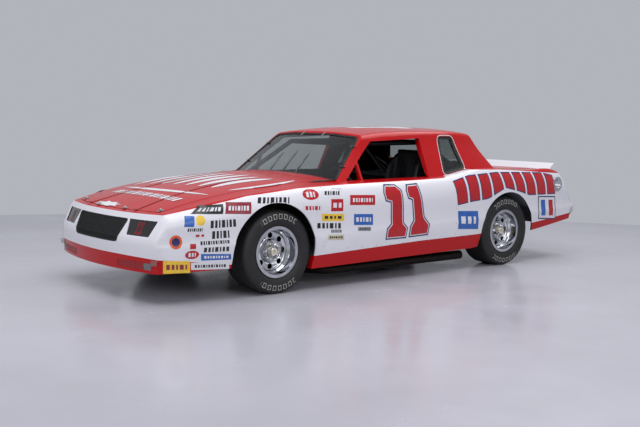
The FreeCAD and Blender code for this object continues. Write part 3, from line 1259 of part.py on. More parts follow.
def build_engine():
    """Engine block, radiator and the two side exhausts."""
    start = FIREWALL + S.engine_gap
    engine_top = S.engine_bottom + S.engine_height
    crank = S.engine_bottom + S.engine_height * 0.24
    half_low = S.engine_width * 0.30
    half = S.engine_width / 2
    front = start + S.engine_length
    engine = prism("engine", "YZ", [
        (half_low, S.engine_bottom), (half_low, crank), (half, crank + half_low / 2),
        (half, engine_top - half_low), (half_low, engine_top), (-half_low, engine_top),
        (-half, engine_top - half_low), (-half, crank + half_low / 2), (-half_low, crank),
        (-half_low, S.engine_bottom)], start, front)
    lift = block("front_sump_clear", (FRONT_AXLE - S.arm_spread / 2 - S.rail_width, front + S.overrun),
                 (-half, half), (NOTHING, S.clip_height + S.seat_gap))
    block_cut = cut("engine_cut", engine, lift)
    piece("engine_block", block_cut)
    rad_x = FIREWALL + S.clip_length - S.rail_width / 2
    piece("radiator", block("radiator_core", (rad_x, rad_x + S.radiator_depth),
                            around(NOTHING, S.radiator_width), (CLIP_TOP, CLIP_TOP + S.radiator_height)))
    z = S.exhaust_height
    corner = S.exhaust_radius * 3
    side = S.exhaust_offset
    header_x = start + S.engine_length * 0.26
    header_y = half - S.exhaust_radius * 0.43
    points = [
        Vector(header_x, header_y, S.engine_bottom + S.engine_height / 2),
        Vector(header_x, header_y, z),
        Vector(FIREWALL - S.rail_width, side, z),
        Vector(REAR_AXLE + S.exhaust_end, side, z),
    ]
    pipe = round_pipe(points, corner, S.exhaust_radius)
    bore = round_pipe(points, corner, S.exhaust_radius - S.exhaust_wall)
    left = cut("exhaust_seated", feature("exhaust_left", pipe.cut(bore)), block_cut)
    piece("exhaust_pipes", fused("exhausts", *both_sides("exhaust_other", left)))


def round_pipe(points, corner, radius):
    """Round bar along straight runs joined by arcs of one radius."""
    edges = []
    last = points[0]
    for before, turn, after in zip(points, points[1:], points[2:]):
        back = (before - turn).normalize()
        ahead = (after - turn).normalize()
        angle = back.getAngle(ahead)
        setback = corner / math.tan(angle / 2)
        middle = (back + ahead).normalize()
        centre = turn + middle * (corner / math.sin(angle / 2))
        entry = turn + back * setback
        leave = turn + ahead * setback
        edges.append(Part.makeLine(last, entry))
        edges.append(Part.Arc(entry, centre - middle * corner, leave).toShape())
        last = leave
    edges.append(Part.makeLine(last, points[-1]))
    path = Part.Wire(edges)
    circle = Part.Wire(Part.makeCircle(radius, points[0], points[1] - points[0]))
    return path.makePipeShell([circle], True, False)


def build_cabin(cabin_inner):
    """Seat, dashboard, steering column and the windshield braces."""
    back_x = FRONT_AXLE - S.seat_back_setback
    base = S.seat_base
    top = base + S.seat_height
    wall = S.seat_wall
    front_x = back_x + S.seat_lean + wall + S.seat_depth
    cushion = [
        (back_x + S.seat_lean, base), (front_x, base), (front_x + wall / 2, base + wall / 2),
        (front_x, base + wall * 1.3), (back_x + S.seat_lean + wall * 1.6, base + wall),
        (back_x + wall * 1.4, top), (back_x, top)]
    rise = S.bolster_rise
    bolster = [
        (back_x + S.seat_lean - wall / 3, base - wall / 4), (front_x - wall, base - wall / 4),
        (front_x - wall, base + wall + rise / 2), (back_x + S.seat_lean + wall * 4, base + wall + rise),
        (back_x + S.seat_lean + wall * 2 + rise, base + wall * 4),
        (back_x + S.seat_lean * 0.45 + wall + rise, top - wall * 3),
        (back_x + wall * 1.2 + S.seat_lean * 0.2, top - wall), (back_x + S.seat_lean * 0.12, top - wall)]
    seat_y = around(S.seat_offset, S.seat_width)
    middle = prism("seat_middle", "XZ", cushion, seat_y[0] + S.bolster_width / 2,
                   seat_y[1] - S.bolster_width / 2)
    near = prism("bolster_inner", "XZ", bolster, seat_y[0], seat_y[0] + S.bolster_width)
    outer = prism("bolster_outer", "XZ", bolster, seat_y[1] - S.bolster_width, seat_y[1])
    mounts = [block(f"seat_mount_{number}",
                    (back_x + S.seat_lean, front_x - wall), around(y, S.bolster_width),
                    (FLOOR_TOP, base))
              for number, y in enumerate((seat_y[0] + S.bolster_width * 2, seat_y[1] - S.bolster_width * 2))]
    piece("driver_seat", fused("seat", middle, near, outer, *mounts))
    dash_front = FRONT_AXLE - S.dash_setback
    dash_rear = dash_front - S.dash_depth
    dash_top = S.dash_bottom + S.dash_height
    half = S.dash_width / 2
    dash = prism("dash", "XZ", [
        (dash_rear, S.dash_bottom), (dash_front, S.dash_bottom), (dash_front, dash_top),
        (dash_rear + S.dash_depth * 0.3, dash_top)], -half, half)
    stands = [block(f"dash_stand_{number}", (dash_front, FIREWALL), around(y, S.upright_size),
                    around(S.dash_bottom + S.dash_height / 2, S.upright_size))
              for number, y in enumerate((half - S.upright_size, S.upright_size - half))]
    piece("dashboard", fused("dash_and_stands", dash, *stands))
    hub = Vector(FRONT_AXLE - S.wheel_setback, S.seat_offset, S.wheel_height)
    foot = Vector(FIREWALL, S.seat_offset, S.column_foot)
    line = foot - hub
    start = hub + line * ((S.wheel_grip + S.pin_play) / line.Length)
    column = Part.makeCylinder(S.column_radius, line.Length, start, line)
    column = column.cut(Part.makeBox(S.overrun * 4, S.overrun * 4, S.overrun * 4,
                                     Vector(FIREWALL, S.seat_offset - S.overrun * 2,
                                            S.column_foot - S.overrun * 2)))
    hanger_x = dash_rear
    hanger_z = hub.z + line.z * ((hanger_x - hub.x) / line.x)
    hanger = Part.makeBox(S.column_radius * 2, S.column_radius, S.dash_bottom - hanger_z,
                          Vector(hanger_x, S.seat_offset - S.column_radius / 2, hanger_z))
    piece("steering_column", feature("column_and_hanger", column.fuse(hanger)))
    build_hand_wheel(hub, line)
    braces = []
    for step in (-1, 0, 1):
        y = S.brace_spread * step
        low = Vector(dash_front - S.brace_radius * 2, y, dash_top)
        high = Vector(GLASS_TOP - S.pillar, y, S.roof_height)
        braces.append(bar(low, high, S.brace_radius))
    rods = feature("brace_rods", Part.makeCompound(braces))
    dash_room = block("brace_foot_cut", (dash_rear, FIREWALL), (-half, half), (S.dash_bottom, dash_top))
    piece("windshield_braces", cut("brace_cut", common("braces_in_cabin", rods, cabin_inner), dash_room))


def build_hand_wheel(hub, line):
    """Steering wheel of one ring, three spokes and a hub, square to the column."""
    turn = Rotation(Vector(0, 0, 1), line)
    ring = Part.makeTorus(S.wheel_ring_radius - S.wheel_grip, S.wheel_grip)
    shapes = [Part.makeCylinder(S.column_radius * 1.8, S.wheel_grip, Vector(0, 0, 0))]
    for number in range(3):
        spoke = Part.makeBox(S.wheel_ring_radius - S.wheel_grip * 1.5, S.wheel_grip * 2,
                             S.wheel_grip / 2, Vector(0, -S.wheel_grip, S.wheel_grip / 4))
        spoke.rotate(Vector(0, 0, 0), Vector(0, 0, 1), 120 * number + 90)
        shapes.append(spoke)
    wheel = ring.fuse(shapes)
    wheel.Placement = Placement(hub, turn)
    piece("steering_wheel", feature("hand_wheel", wheel))


def origin_plane(body, role):
    return next(part for part in body.Origin.OriginFeatures if part.Role == role)


def sketch_in(body, name, role, points=None):
    """A sketch on one of the body's own origin planes."""
    sketch = body.newObject("Sketcher::SketchObject", name)
    sketch.AttachmentSupport = [(origin_plane(body, role), "")]
    sketch.MapMode = "FlatFace"
    if points:
        draw_outline(sketch, points)
    return sketch


def turned(body, name, points):
    """Outline of radius and width turned about the body's own upright axis."""
    sketch = sketch_in(body, f"{name}_outline", "XZ_Plane", points)
    made = body.newObject("PartDesign::Revolution", name)
    made.Profile = sketch
    made.ReferenceAxis = (sketch, ["V_Axis"])
    made.Angle = 360
    return made


def round_holes(body, name, radius, circle, count_size, low, high, add=False):
    """Round pads or pockets spaced evenly on a circle."""
    sketch = sketch_in(body, f"{name}_circle", "XY_Plane")
    sketch.addGeometry(Part.Circle(Vector(float(circle), 0, 0), Vector(0, 0, 1), float(radius)), False)
    tie(sketch, 0, 3, circle, Size(0, "0"))
    index = sketch.addConstraint(Sketcher.Constraint("Radius", 0, float(radius)))
    sketch.setExpression(f"Constraints[{index}]", formula_of(radius))
    sketch.setExpression("AttachmentOffset.Base.z", formula_of(low))
    made = body.newObject("PartDesign::Pad" if add else "PartDesign::Pocket", name)
    made.Profile = sketch
    made.setExpression("Length", formula_of(high - low))
    if not add:
        made.Reversed = True
    pattern = body.newObject("PartDesign::PolarPattern", f"{name}_ring")
    pattern.Originals = [made]
    pattern.Axis = (sketch, ["N_Axis"])
    pattern.Angle = 360
    pattern.setExpression("Occurrences", formula_of(count_size))
    body.Tip = pattern
    return pattern


# Where the tyre is widest, on the way from rim to tread
TYRE_WIDEST_share = 0.5


def build_wheel(corner, axle_x, side):
    """Rim with its hub and brake disc, and the tyre on it, drawn about the wheel's own middle."""
    half = S.rim_width / 2
    flange = S.rim_radius + S.rim_flange
    wall = S.rim_wall
    well = S.rim_radius - S.rim_drop
    well_in, well_out = -half * 0.55, half * 0.30
    slope = S.rim_drop
    disc = half - S.rim_dish
    crown = disc + S.disc_crown
    face = disc + S.disc_crown * 0.77
    lug_zone = S.lug_circle + S.lug_radius
    rim = doc.addObject("PartDesign::Body", f"rim_{corner}")
    turned(rim, f"barrel_{corner}", [
        (flange, -half), (flange, -half + wall), (S.rim_radius, -half + wall),
        (S.rim_radius, well_in - slope), (well, well_in), (well, well_out),
        (S.rim_radius, well_out + slope), (S.rim_radius, half - wall), (flange, half - wall),
        (flange, half), (S.rim_radius - wall, half), (S.rim_radius - wall, well_out + slope),
        (well - wall, well_out), (well - wall, well_in), (S.rim_radius - wall, well_in - slope),
        (S.rim_radius - wall, -half)])
    flat_edge = lug_zone + S.lug_radius / 3
    crown_edge = lug_zone + S.lug_radius * 1.2
    ring_edge = S.wheel_hole_circle - S.wheel_hole_radius * 1.15
    turned(rim, f"disc_{corner}", [
        (well - wall / 2, disc - wall), (well - wall / 2, disc), (ring_edge, disc), (crown_edge, crown),
        (flat_edge, face), (NOTHING, face), (NOTHING, face - wall), (flat_edge + wall * 0.3, face - wall),
        (crown_edge - wall * 0.2, crown - wall * 1.25), (ring_edge - wall * 0.9, disc - wall)])
    inboard = -S.brake_inboard - S.brake_thickness / 2
    bore = S.spindle_radius + S.pin_play
    turned(rim, f"hub_{corner}", [
        (bore, inboard - S.pin_play * 5), (S.hub_barrel, inboard - S.pin_play * 5),
        (S.hub_barrel, inboard), (S.brake_radius, inboard),
        (S.brake_radius, inboard + S.brake_thickness), (S.hub_barrel, inboard + S.brake_thickness),
        (S.hub_barrel, face - wall / 2), (NOTHING, face - wall / 2),
        (NOTHING, S.spindle_reach + S.pin_play), (bore, S.spindle_reach + S.pin_play)])
    turned(rim, f"cap_{corner}", [
        (NOTHING, face - wall / 2), (S.hub_radius, face - wall / 2),
        (S.hub_radius, face + S.hub_reach * 0.7),
        Through((S.hub_radius * 0.9, face + S.hub_reach * 0.93)),
        (S.hub_radius * 0.7, face + S.hub_reach), (NOTHING, face + S.hub_reach)])
    round_holes(rim, f"holes_{corner}", S.wheel_hole_radius, S.wheel_hole_circle, S.wheel_holes,
                disc - wall * 2, disc + wall)
    round_holes(rim, f"lugs_{corner}", S.lug_radius, S.lug_circle, S.lug_count,
                face - wall / 2, face + S.lug_reach, add=True)
    bead = half - wall - S.seat_gap
    seat = S.rim_radius + S.seat_gap
    grown = S.tyre_radius - S.rim_radius
    side_half = S.tyre_width / 2
    tread = S.tread_width / 2
    thick = S.tyre_wall
    tyre = doc.addObject("PartDesign::Body", f"tyre_{corner}")
    widest = S.rim_radius + grown * TYRE_WIDEST_share
    past_flange = flange + S.seat_gap * 4
    crown_in = S.tyre_radius - S.tyre_crown
    turned(tyre, f"casing_{corner}", [
        (seat, -bead), (past_flange, -bead), (widest, -side_half), (S.tyre_radius, -tread),
        (S.tyre_radius, tread), (widest, side_half), (past_flange, bead), (seat, bead),
        (seat, bead - thick), (crown_in, tread - thick / 2), (crown_in, -tread + thick / 2),
        (seat, -bead + thick)])
    turn = Rotation(Vector(1, 0, 0), -90 * side)
    for body, node in ((rim, f"rim_{corner}"), (tyre, f"tyre_{corner}")):
        body.Placement = Placement(Vector(), turn)
        bind(body, "Placement.Base.x", axle_x)
        bind(body, "Placement.Base.y", S.half_track * side)
        bind(body, "Placement.Base.z", S.tyre_radius)
        piece(node, body)


def build_spoiler(outer):
    """Folded sheet behind the decklid's rear edge, on a foot that follows the lid's crown."""
    low = S.spoiler_base
    thick = S.spoiler_sheet
    fold_x = DECK_REAR - S.spoiler_lean * 0.40
    tip_x = DECK_REAR - S.spoiler_lean
    half = S.spoiler_width / 2
    sheet_part = prism("spoiler_strip", "XZ", [
        (DECK_REAR, low), (DECK_REAR + thick, low), (fold_x + thick, low + S.spoiler_fold),
        (tip_x + thick, low + S.spoiler_height), (tip_x, low + S.spoiler_height),
        (fold_x, low + S.spoiler_fold)], -half, half)
    foot_half = S.deck_width / 2 - S.panel_gap
    foot = prism("spoiler_foot_bar", "XZ", [
        (DECK_REAR, low - S.spoiler_foot), (DECK_REAR + S.spoiler_foot, low - S.spoiler_foot),
        (DECK_REAR + S.spoiler_foot, low + thick / 2), (DECK_REAR, low + thick)],
        -foot_half, foot_half)
    piece("spoiler", fused("spoiler_whole", sheet_part, cut("spoiler_seat", foot, outer)))


# Hinge arm seen from the side, from its pin: forward and down shares of the arm's reach
HOOD_ARM_shares = ((0.03, -0.17), (0.24, -0.44), (0.50, -0.44), (1.0, -0.14), (1.0, 0.52),
                   (0.80, 0.52), (0.80, -0.03), (0.43, -0.27), (0.31, -0.29), (0.13, -0.09))
DECK_ARM_shares = ((-0.02, -0.18), (0.12, -0.56), (0.48, -0.56), (1.0, -0.24), (1.0, 0.52),
                   (0.80, 0.52), (0.80, -0.14), (0.37, -0.40), (0.267, -0.412), (0.085, -0.085))


def hinge_pair(name, x, z, ahead, reach, shares, wall_x, under):
    """Two gooseneck arms on one side each, cut to the panel they carry, and their pin brackets."""
    near, far = around(S.hinge_spread / 2, S.hinge_arm)
    eye = S.hinge_eye
    run = [(x + reach * ahead * along, z + reach * up) for along, up in shares]
    neck = [(x - eye * 0.9 * ahead, z - eye * 0.4), (x - eye * 0.3 * ahead, z - eye * 0.95)]
    close = [(x + eye * 0.9 * ahead, z - eye * 0.4), (x + eye * 0.5 * ahead, z + eye * 0.7)]
    arm = prism(f"{name}_arm", "XZ", neck + run + close, near, far)
    knob = rod(f"{name}_eye", (x, near, z), "Y", S.hinge_arm, eye)
    hole = rod(f"{name}_hole", (x, near - S.overrun, z), "Y", S.hinge_arm + S.overrun * 2,
               S.hinge_pin + S.pin_play)
    seated = common(f"{name}_seated", fused(f"{name}_whole", arm, knob), under)
    bored = cut(f"{name}_bored", seated, hole)
    ear_x = (wall_x, x + eye) if ahead > 0 else (x - eye, wall_x)
    ears = []
    for number, start in enumerate((near - S.pin_play - S.hinge_ear, far + S.pin_play)):
        ears.append(block(f"{name}_ear_{number}", ear_x, (start, start + S.hinge_ear),
                          (z - eye, z + eye)))
    pin = rod(f"{name}_pin", (x, near - S.pin_play - S.hinge_ear, z), "Y",
              S.hinge_arm + S.pin_play * 2 + S.hinge_ear * 2, S.hinge_pin)
    bracket = fused(f"{name}_bracket", *ears, pin)
    return bored, bracket


def build_hinges(inner, hood, decklid):
    """Hood and decklid with their hinge arms, and the brackets on the body."""
    arm, bracket = hinge_pair("hood_hinge", FRONT_AXLE - S.hood_hinge_setback, S.hood_hinge_height,
                              1, S.hood_hinge_reach, HOOD_ARM_shares, FIREWALL + S.sheet_wall, inner)
    piece("hood", hood)
    piece("hood_hinge_arms", fused("hood_arms", *both_sides("hood_arm_right", arm)))
    piece("hood_hinge_brackets", fused("hood_brackets", *both_sides("hood_bracket_right", bracket)))
    arm, bracket = hinge_pair("deck_hinge", -S.deck_front + S.deck_hinge_lead, S.deck_hinge_height,
                              -1, S.deck_hinge_reach, DECK_ARM_shares, SHELF_BACK, inner)
    piece("decklid", decklid)
    piece("decklid_hinge_arms", fused("deck_arms", *both_sides("deck_arm_right", arm)))
    piece("decklid_hinge_brackets", fused("deck_brackets", *both_sides("deck_bracket_right", bracket)))


build_body()
build_frame()
build_cage()
build_front_suspension()
build_rear_axle()
build_engine()
for axle_name, axle_place in WHEEL_X.items():
    for side_name, side_sign in (("left", 1), ("right", -1)):
        build_wheel(f"{axle_name}_{side_name}", axle_place, side_sign)
doc.recompute()



def check_and_write():
    """Stops on a failed object, then writes each finished sub-part."""
    for thing in doc.Objects:
        if "Invalid" in thing.State or "Error" in thing.State:
            raise RuntimeError(f"{thing.Label}: {thing.State} {thing.getStatusString()}")
    os.makedirs("parts", exist_ok=True)
    for name in os.listdir("parts"):
        if name.endswith(".step"):
            os.remove(os.path.join("parts", name))
    for node, thing in PIECES.items():
        shape = thing.Shape
        solids = shape.Solids
        if shape.isNull() or not solids or not shape.isValid():
            raise RuntimeError(f"{node} has no valid shape")
        kept = solids[0] if len(solids) == 1 else Part.makeCompound(solids)
        kept.exportStep(os.path.join("parts", f"{node}.step"))
        low, high = shape.BoundBox, shape.BoundBox
        print(node, len(solids), round(shape.Volume / 1e6, 2), "litres",
              [round(v) for v in (low.XMin, high.XMax, low.YMin, high.YMax, low.ZMin, high.ZMax)])


check_and_write()
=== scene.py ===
# %% [markdown]
# # Dressing a full-size oval-racing stock car
#
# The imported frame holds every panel, tube and wheel of the car in metres, with +X to the nose, +Y to the
# car's left and +Z up. This lesson gives each of them the finish of the real thing and adds what the frame
# leaves out: paint lines, race numbers, stickers, glass trim, tyre and rim detail, fasteners and cabin gear.

# %% Load the frame
import json
import math
from collections import defaultdict
from functools import partial

import bmesh
import bpy
import numpy as np
from mathutils import Matrix, Vector
from mathutils.geometry import delaunay_2d_cdt

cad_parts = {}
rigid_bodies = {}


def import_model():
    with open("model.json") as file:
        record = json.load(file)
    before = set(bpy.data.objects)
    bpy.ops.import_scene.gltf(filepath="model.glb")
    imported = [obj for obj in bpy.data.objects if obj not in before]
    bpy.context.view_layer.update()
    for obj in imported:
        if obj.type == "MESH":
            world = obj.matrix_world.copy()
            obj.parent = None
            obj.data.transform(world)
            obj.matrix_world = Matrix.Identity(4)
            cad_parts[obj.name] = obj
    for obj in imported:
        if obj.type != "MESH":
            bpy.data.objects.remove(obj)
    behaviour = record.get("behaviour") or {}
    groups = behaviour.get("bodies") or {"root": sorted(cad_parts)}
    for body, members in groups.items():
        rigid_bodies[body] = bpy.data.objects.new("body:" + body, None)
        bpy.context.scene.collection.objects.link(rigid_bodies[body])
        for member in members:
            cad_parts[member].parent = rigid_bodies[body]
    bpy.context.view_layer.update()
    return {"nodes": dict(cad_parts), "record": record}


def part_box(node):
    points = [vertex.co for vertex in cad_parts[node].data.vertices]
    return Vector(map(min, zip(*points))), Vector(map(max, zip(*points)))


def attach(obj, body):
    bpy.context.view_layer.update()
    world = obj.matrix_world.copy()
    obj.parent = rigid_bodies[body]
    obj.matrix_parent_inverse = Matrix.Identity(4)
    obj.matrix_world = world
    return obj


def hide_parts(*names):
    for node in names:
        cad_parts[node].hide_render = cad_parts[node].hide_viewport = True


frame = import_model()
nodes = frame["nodes"]
SIDES = {"left": 1, "right": -1}

# %% [markdown]
# ## Small helpers
#
# A colour is written as the sRGB hex value that a paint chart gives and turned to linear light once. One
# function adds a shader node with its settings, values and links, so a material reads as a short list.


# %% Colour, node and object helpers
def linear(hex_colour):
    """sRGB hex to linear RGBA: c/12.92 below 0.04045, ((c + 0.055)/1.055)^2.4 above."""
    parts = np.array([int(hex_colour[i:i + 2], 16) for i in (1, 3, 5)]) / 255
    lin = np.where(parts <= 0.04045, parts / 12.92, ((parts + 0.055) / 1.055) ** 2.4)
    return (*lin, 1.0)


def plug(tree, node, **inputs):
    """Gives a node's inputs values, hex colours or links, named as on the node or _0, _1 by place."""
    for name, value in inputs.items():
        socket = node.inputs[int(name[1:]) if name[0] == "_" else name.replace("_", " ")]
        if isinstance(value, bpy.types.NodeSocket):
            tree.links.new(value, socket)
        else:
            socket.default_value = linear(value) if isinstance(value, str) else value


def add(tree, kind, settings=None, **inputs):
    """Adds one node with its settings and inputs."""
    made = tree.nodes.new(kind)
    for name, value in (settings or {}).items():
        setattr(made, name, value)
    plug(tree, made, **inputs)
    return made


def start_material(name):
    """A new material with one Principled shader; returns material, tree, shader, the shaded point's object
    coordinates and their three separate axes."""
    made = bpy.data.materials.new(name)
    made.use_nodes = True
    tree = made.node_tree
    tree.nodes.clear()
    shader = add(tree, "ShaderNodeBsdfPrincipled")
    add(tree, "ShaderNodeOutputMaterial", Surface=shader.outputs["BSDF"])
    place = add(tree, "ShaderNodeTexCoord").outputs["Object"]
    return made, tree, shader, place, add(tree, "ShaderNodeSeparateXYZ", Vector=place).outputs


def noise(tree, place, scale, detail=4.0, roughness=0.5):
    return add(tree, "ShaderNodeTexNoise", Vector=place, Scale=scale, Detail=detail,
               Roughness=roughness).outputs["Fac"]


def ramp(tree, fac, *stops):
    """Blends two tones, each a hex colour or a grey share, between their two places on the ramp."""
    made = add(tree, "ShaderNodeValToRGB", Fac=fac)
    for element, (at, tone) in zip(made.color_ramp.elements, stops):
        element.position = at
        element.color = linear(tone) if isinstance(tone, str) else (tone, tone, tone, 1)
    return made.outputs["Color"]


def mottle(tree, place, scale, detail, *stops):
    """Noise read through a ramp of two tones."""
    return ramp(tree, noise(tree, place, scale, detail), *stops)


def mix(tree, fac, first, second):
    return add(tree, "ShaderNodeMix", {"data_type": "RGBA"}, _0=fac, _6=first, _7=second).outputs[2]


def maths(tree, operation, first, second=0.0):
    return add(tree, "ShaderNodeMath", {"operation": operation}, _0=first, _1=second).outputs[0]


def bump(tree, shader, height, depth):
    """A bump whose full height is depth metres."""
    made = add(tree, "ShaderNodeBump", Height=height, Distance=depth, Strength=1.0)
    plug(tree, shader, Normal=made.outputs["Normal"])


def put(name, data):
    """A new object of a mesh, lamp or camera, linked to the scene."""
    made = bpy.data.objects.new(name, data)
    bpy.context.scene.collection.objects.link(made)
    return made


# %% [markdown]
# ## The camera
#
# The photographer stood about six metres ahead and seven metres to the left of the car's middle, at eye
# height of a crouching person, with a lens of normal length. The picture is slightly rolled.

# %% Camera
CAMERA_PLACE = Vector((5.973, 6.920, 1.404))
CAMERA_YAW, CAMERA_PITCH, CAMERA_ROLL = (math.radians(v) for v in (-129.74, -5.667, 0.975))
FOCAL_PIXELS = 956.3
PICTURE_WIDTH = 640
ahead = Vector((math.cos(CAMERA_YAW) * math.cos(CAMERA_PITCH), math.sin(CAMERA_YAW) * math.cos(CAMERA_PITCH),
                math.sin(CAMERA_PITCH)))
level_right = ahead.cross(Vector((0, 0, 1))).normalized()
level_up = level_right.cross(ahead)
right = level_right * math.cos(CAMERA_ROLL) + level_up * math.sin(CAMERA_ROLL)
up = level_up * math.cos(CAMERA_ROLL) - level_right * math.sin(CAMERA_ROLL)
camera = put("camera", bpy.data.cameras.new("camera"))
camera.matrix_world = Matrix.Translation(CAMERA_PLACE) @ Matrix((right, up, -ahead)).transposed().to_4x4()
camera.data.sensor_width = 36.0
camera.data.lens = camera.data.sensor_width * FOCAL_PIXELS / PICTURE_WIDTH
bpy.context.scene.camera = camera
print("lens", round(camera.data.lens, 1), "mm")

# %% [markdown]
# ## The studio
#
# The car stands on a pale sealed floor under wide soft lamps. A round sheet makes the floor, and the world's
# own colour stands for the wall past its edge, so nothing hides the car from any side. Two large lamps
# overhead draw the long highlights on the hood and roof, and the world fills the shadows.

# %% Stage and light
bpy.context.scene.view_settings.view_transform = "Standard"
FLOOR_RADIUS, FLOOR_END = 14.0, 4.8


def floor_sheet(rings=12, steps=180):
    """A level disc R*s*(cos t, sin t, 0), pushed back so that it ends FLOOR_END behind the car's middle."""
    away = np.array((ahead.x, ahead.y, 0)) / math.hypot(ahead.x, ahead.y)
    share = np.linspace(0, 1, rings)[:, None]
    turn = np.linspace(0, 2 * math.pi, steps, endpoint=False)[None, :]
    disc = FLOOR_RADIUS * np.stack([share * np.cos(turn), share * np.sin(turn), 0 * share * turn], -1)
    return disc + away * (FLOOR_END - FLOOR_RADIUS)


def mesh_piece(name, points, faces):
    """A smooth-shaded object of points and faces."""
    mesh = bpy.data.meshes.new(name)
    mesh.from_pydata(points.reshape(-1, 3).tolist(), [], faces.tolist())
    mesh.validate()
    mesh.shade_smooth()
    return put(name, mesh)


def grid_faces(rows, columns, close_rows=False, close_columns=False):
    """Quads of a grid of points, row by row; closing joins the last row or column to the first."""
    r = np.arange(rows if close_rows else rows - 1)
    c = np.arange(columns if close_columns else columns - 1)
    r, c = np.meshgrid(r, c, indexing="ij")
    r2, c2 = (r + 1) % rows, (c + 1) % columns
    corners = ((r, c), (r2, c), (r2, c2), (r, c2))
    return np.stack([row * columns + column for row, column in corners], -1).reshape(-1, 4)


def grid_piece(name, grid, close_rows=False, close_columns=False):
    return mesh_piece(name, grid, grid_faces(*grid.shape[:2], close_rows, close_columns))


studio = grid_piece("studio", floor_sheet(), close_columns=True)
# sealed concrete floor paint: pale, a little patchy, with a soft mirror image of the car
floor_paint, tree, shader, place, _ = start_material("sealed floor paint")
plug(tree, shader, Base_Color=mottle(tree, place, 0.7, 6.0, (0.3, "#b3b1bb"), (0.7, "#bdbcc6")),
     Roughness=mottle(tree, place, 2.5, 5.0, (0.3, 0.16), (0.75, 0.30)), Specular_IOR_Level=0.5)
studio.data.materials.append(floor_paint)


def area_lamp(name, place, target, size, power):
    """A soft lamp of a size (across, deep) in metres that looks at its target, with its power in watts."""
    lamp = bpy.data.lights.new(name, "AREA")
    lamp.shape = "RECTANGLE"
    lamp.size, lamp.size_y = size
    lamp.energy = power
    look = (Vector(target) - Vector(place)).to_track_quat("-Z", "Y")
    put(name, lamp).matrix_world = Matrix.Translation(place) @ look.to_matrix().to_4x4()


area_lamp("lamp_over_hood", (2.5, 1.0, 5.0), (0.6, 0.0, 0.3), (6.0, 3.0), 175)
area_lamp("lamp_over_tail", (-3.0, 0.5, 5.0), (-0.6, 0.0, 0.3), (5.0, 3.0), 120)
area_lamp("lamp_beside", (1.5, 7.5, 3.2), (0.0, 0.5, 0.5), (7.0, 2.4), 120)
area_lamp("lamp_ahead", (8.5, 1.5, 3.0), (2.0, 0.3, 0.4), (4.5, 2.0), 90)
world = bpy.data.worlds.new("studio air")
bpy.context.scene.world = world
world.use_nodes = True
plug(world.node_tree, world.node_tree.nodes["Background"], Color="#dfe2ea", Strength=0.60)
print("floor of", FLOOR_RADIUS, "m and", len(bpy.data.lights), "lamps")

# %% [markdown]
# ## Painted panels
#
# The outer panels are sheet steel and moulded plastic under solid colour enamel with a clear coat. The meshes
# of the frame are loose triangles, so a merged copy with smooth shading stands for each painted panel: the
# shape stays, and the reflections run across it without facets.

# %% Merged copies of frame panels
# points nearer than WELD metres are one; edges bent by more degrees than the crease stay sharp
WELD = 2e-5
PANEL_CREASE, SHELL_CREASE, SHEET_CREASE = 28.0, 35.0, 40.0


def merged(name, meshes, distance=WELD, turn_out=False):
    """Several meshes as one, with near points merged and, if asked, all faces turned outwards."""
    shape = bmesh.new()
    for mesh in meshes:
        shape.from_mesh(mesh)
    if distance:
        bmesh.ops.remove_doubles(shape, verts=shape.verts, dist=distance)
    if turn_out:
        bmesh.ops.recalc_face_normals(shape, faces=shape.faces)
    made = bpy.data.meshes.new(name)
    shape.to_mesh(made)
    shape.free()
    return made


def creased(piece, degrees):
    piece.data.shade_smooth()
    piece.data.set_sharp_from_angle(angle=math.radians(degrees))
    return piece


def smooth_copy(node):
    name = node + "_skin"
    return creased(put(name, merged(name, [nodes[node].data])), PANEL_CREASE)


def body_of(node):
    groups = frame["record"]["behaviour"]["bodies"]
    return next(body for body, members in groups.items() if node in members)


def dress(piece, body, material):
    """Gives a piece its material and lets it ride on its body."""
    piece.data.materials.clear()
    piece.data.materials.append(material)
    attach(piece, body)
    return piece


def reskin(material, *members):
    """Replaces frame nodes by their merged smooth copies, all in one material."""
    for node in members:
        copy = smooth_copy(node)
        dress(copy, body_of(node), material)
        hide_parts(node)
    print(material.name, "on", ", ".join(members))


# %% [markdown]
# The livery is two colours with two lines between them. The upper line follows the shoulder of the fenders,
# drops along the windows' lower edge and climbs over the quarter windows; the lower one rises from the
# front arch to the tail. Both are heights that change along the car, so each is a curve of X read in the
# material, and no panel has to be cut.

# %% Two-colour race enamel
RED, WHITE = "#b0080e", "#dad9e0"
SHOULDER_LINE = ((-2.60, 0.70), (-2.274, 0.882), (-1.30, 0.941), (-0.90, 0.948), (-0.62, 0.90),
                 (-0.53, 0.877), (-0.19, 0.868), (0.656, 0.856), (1.182, 0.839), (1.675, 0.795),
                 (2.117, 0.717), (2.36, 0.668), (2.60, 0.655))
SILL_LINE = ((-2.60, 0.478), (-1.73, 0.393), (-0.95, 0.336), (-0.17, 0.326), (1.06, 0.283), (1.855, 0.277),
             (2.289, 0.332), (2.52, 0.352), (2.60, 0.352))
# share of dust in the colour; facing below which a surface is an inner skin, black as undercoat and as
# painted shade
DUST_SHARE, INNER_SKIN = 0.008, -0.25


def height_along(tree, x, line):
    """A curve node that gives the height in metres of a line of (x, z) points at x."""
    low, high = line[0][0], line[-1][0]
    share = add(tree, "ShaderNodeMapRange", Value=x, From_Min=low, From_Max=high).outputs["Result"]
    made = add(tree, "ShaderNodeFloatCurve", Value=share)
    points = made.mapping.curves[0].points
    points[0].location, points[1].location = (0.0, line[0][1]), (1.0, line[-1][1])
    for px, pz in line[1:-1]:
        points.new((px - low) / (high - low), pz)
    for point in points:
        point.handle_type = "VECTOR"
    made.mapping.update()
    return made.outputs[0]


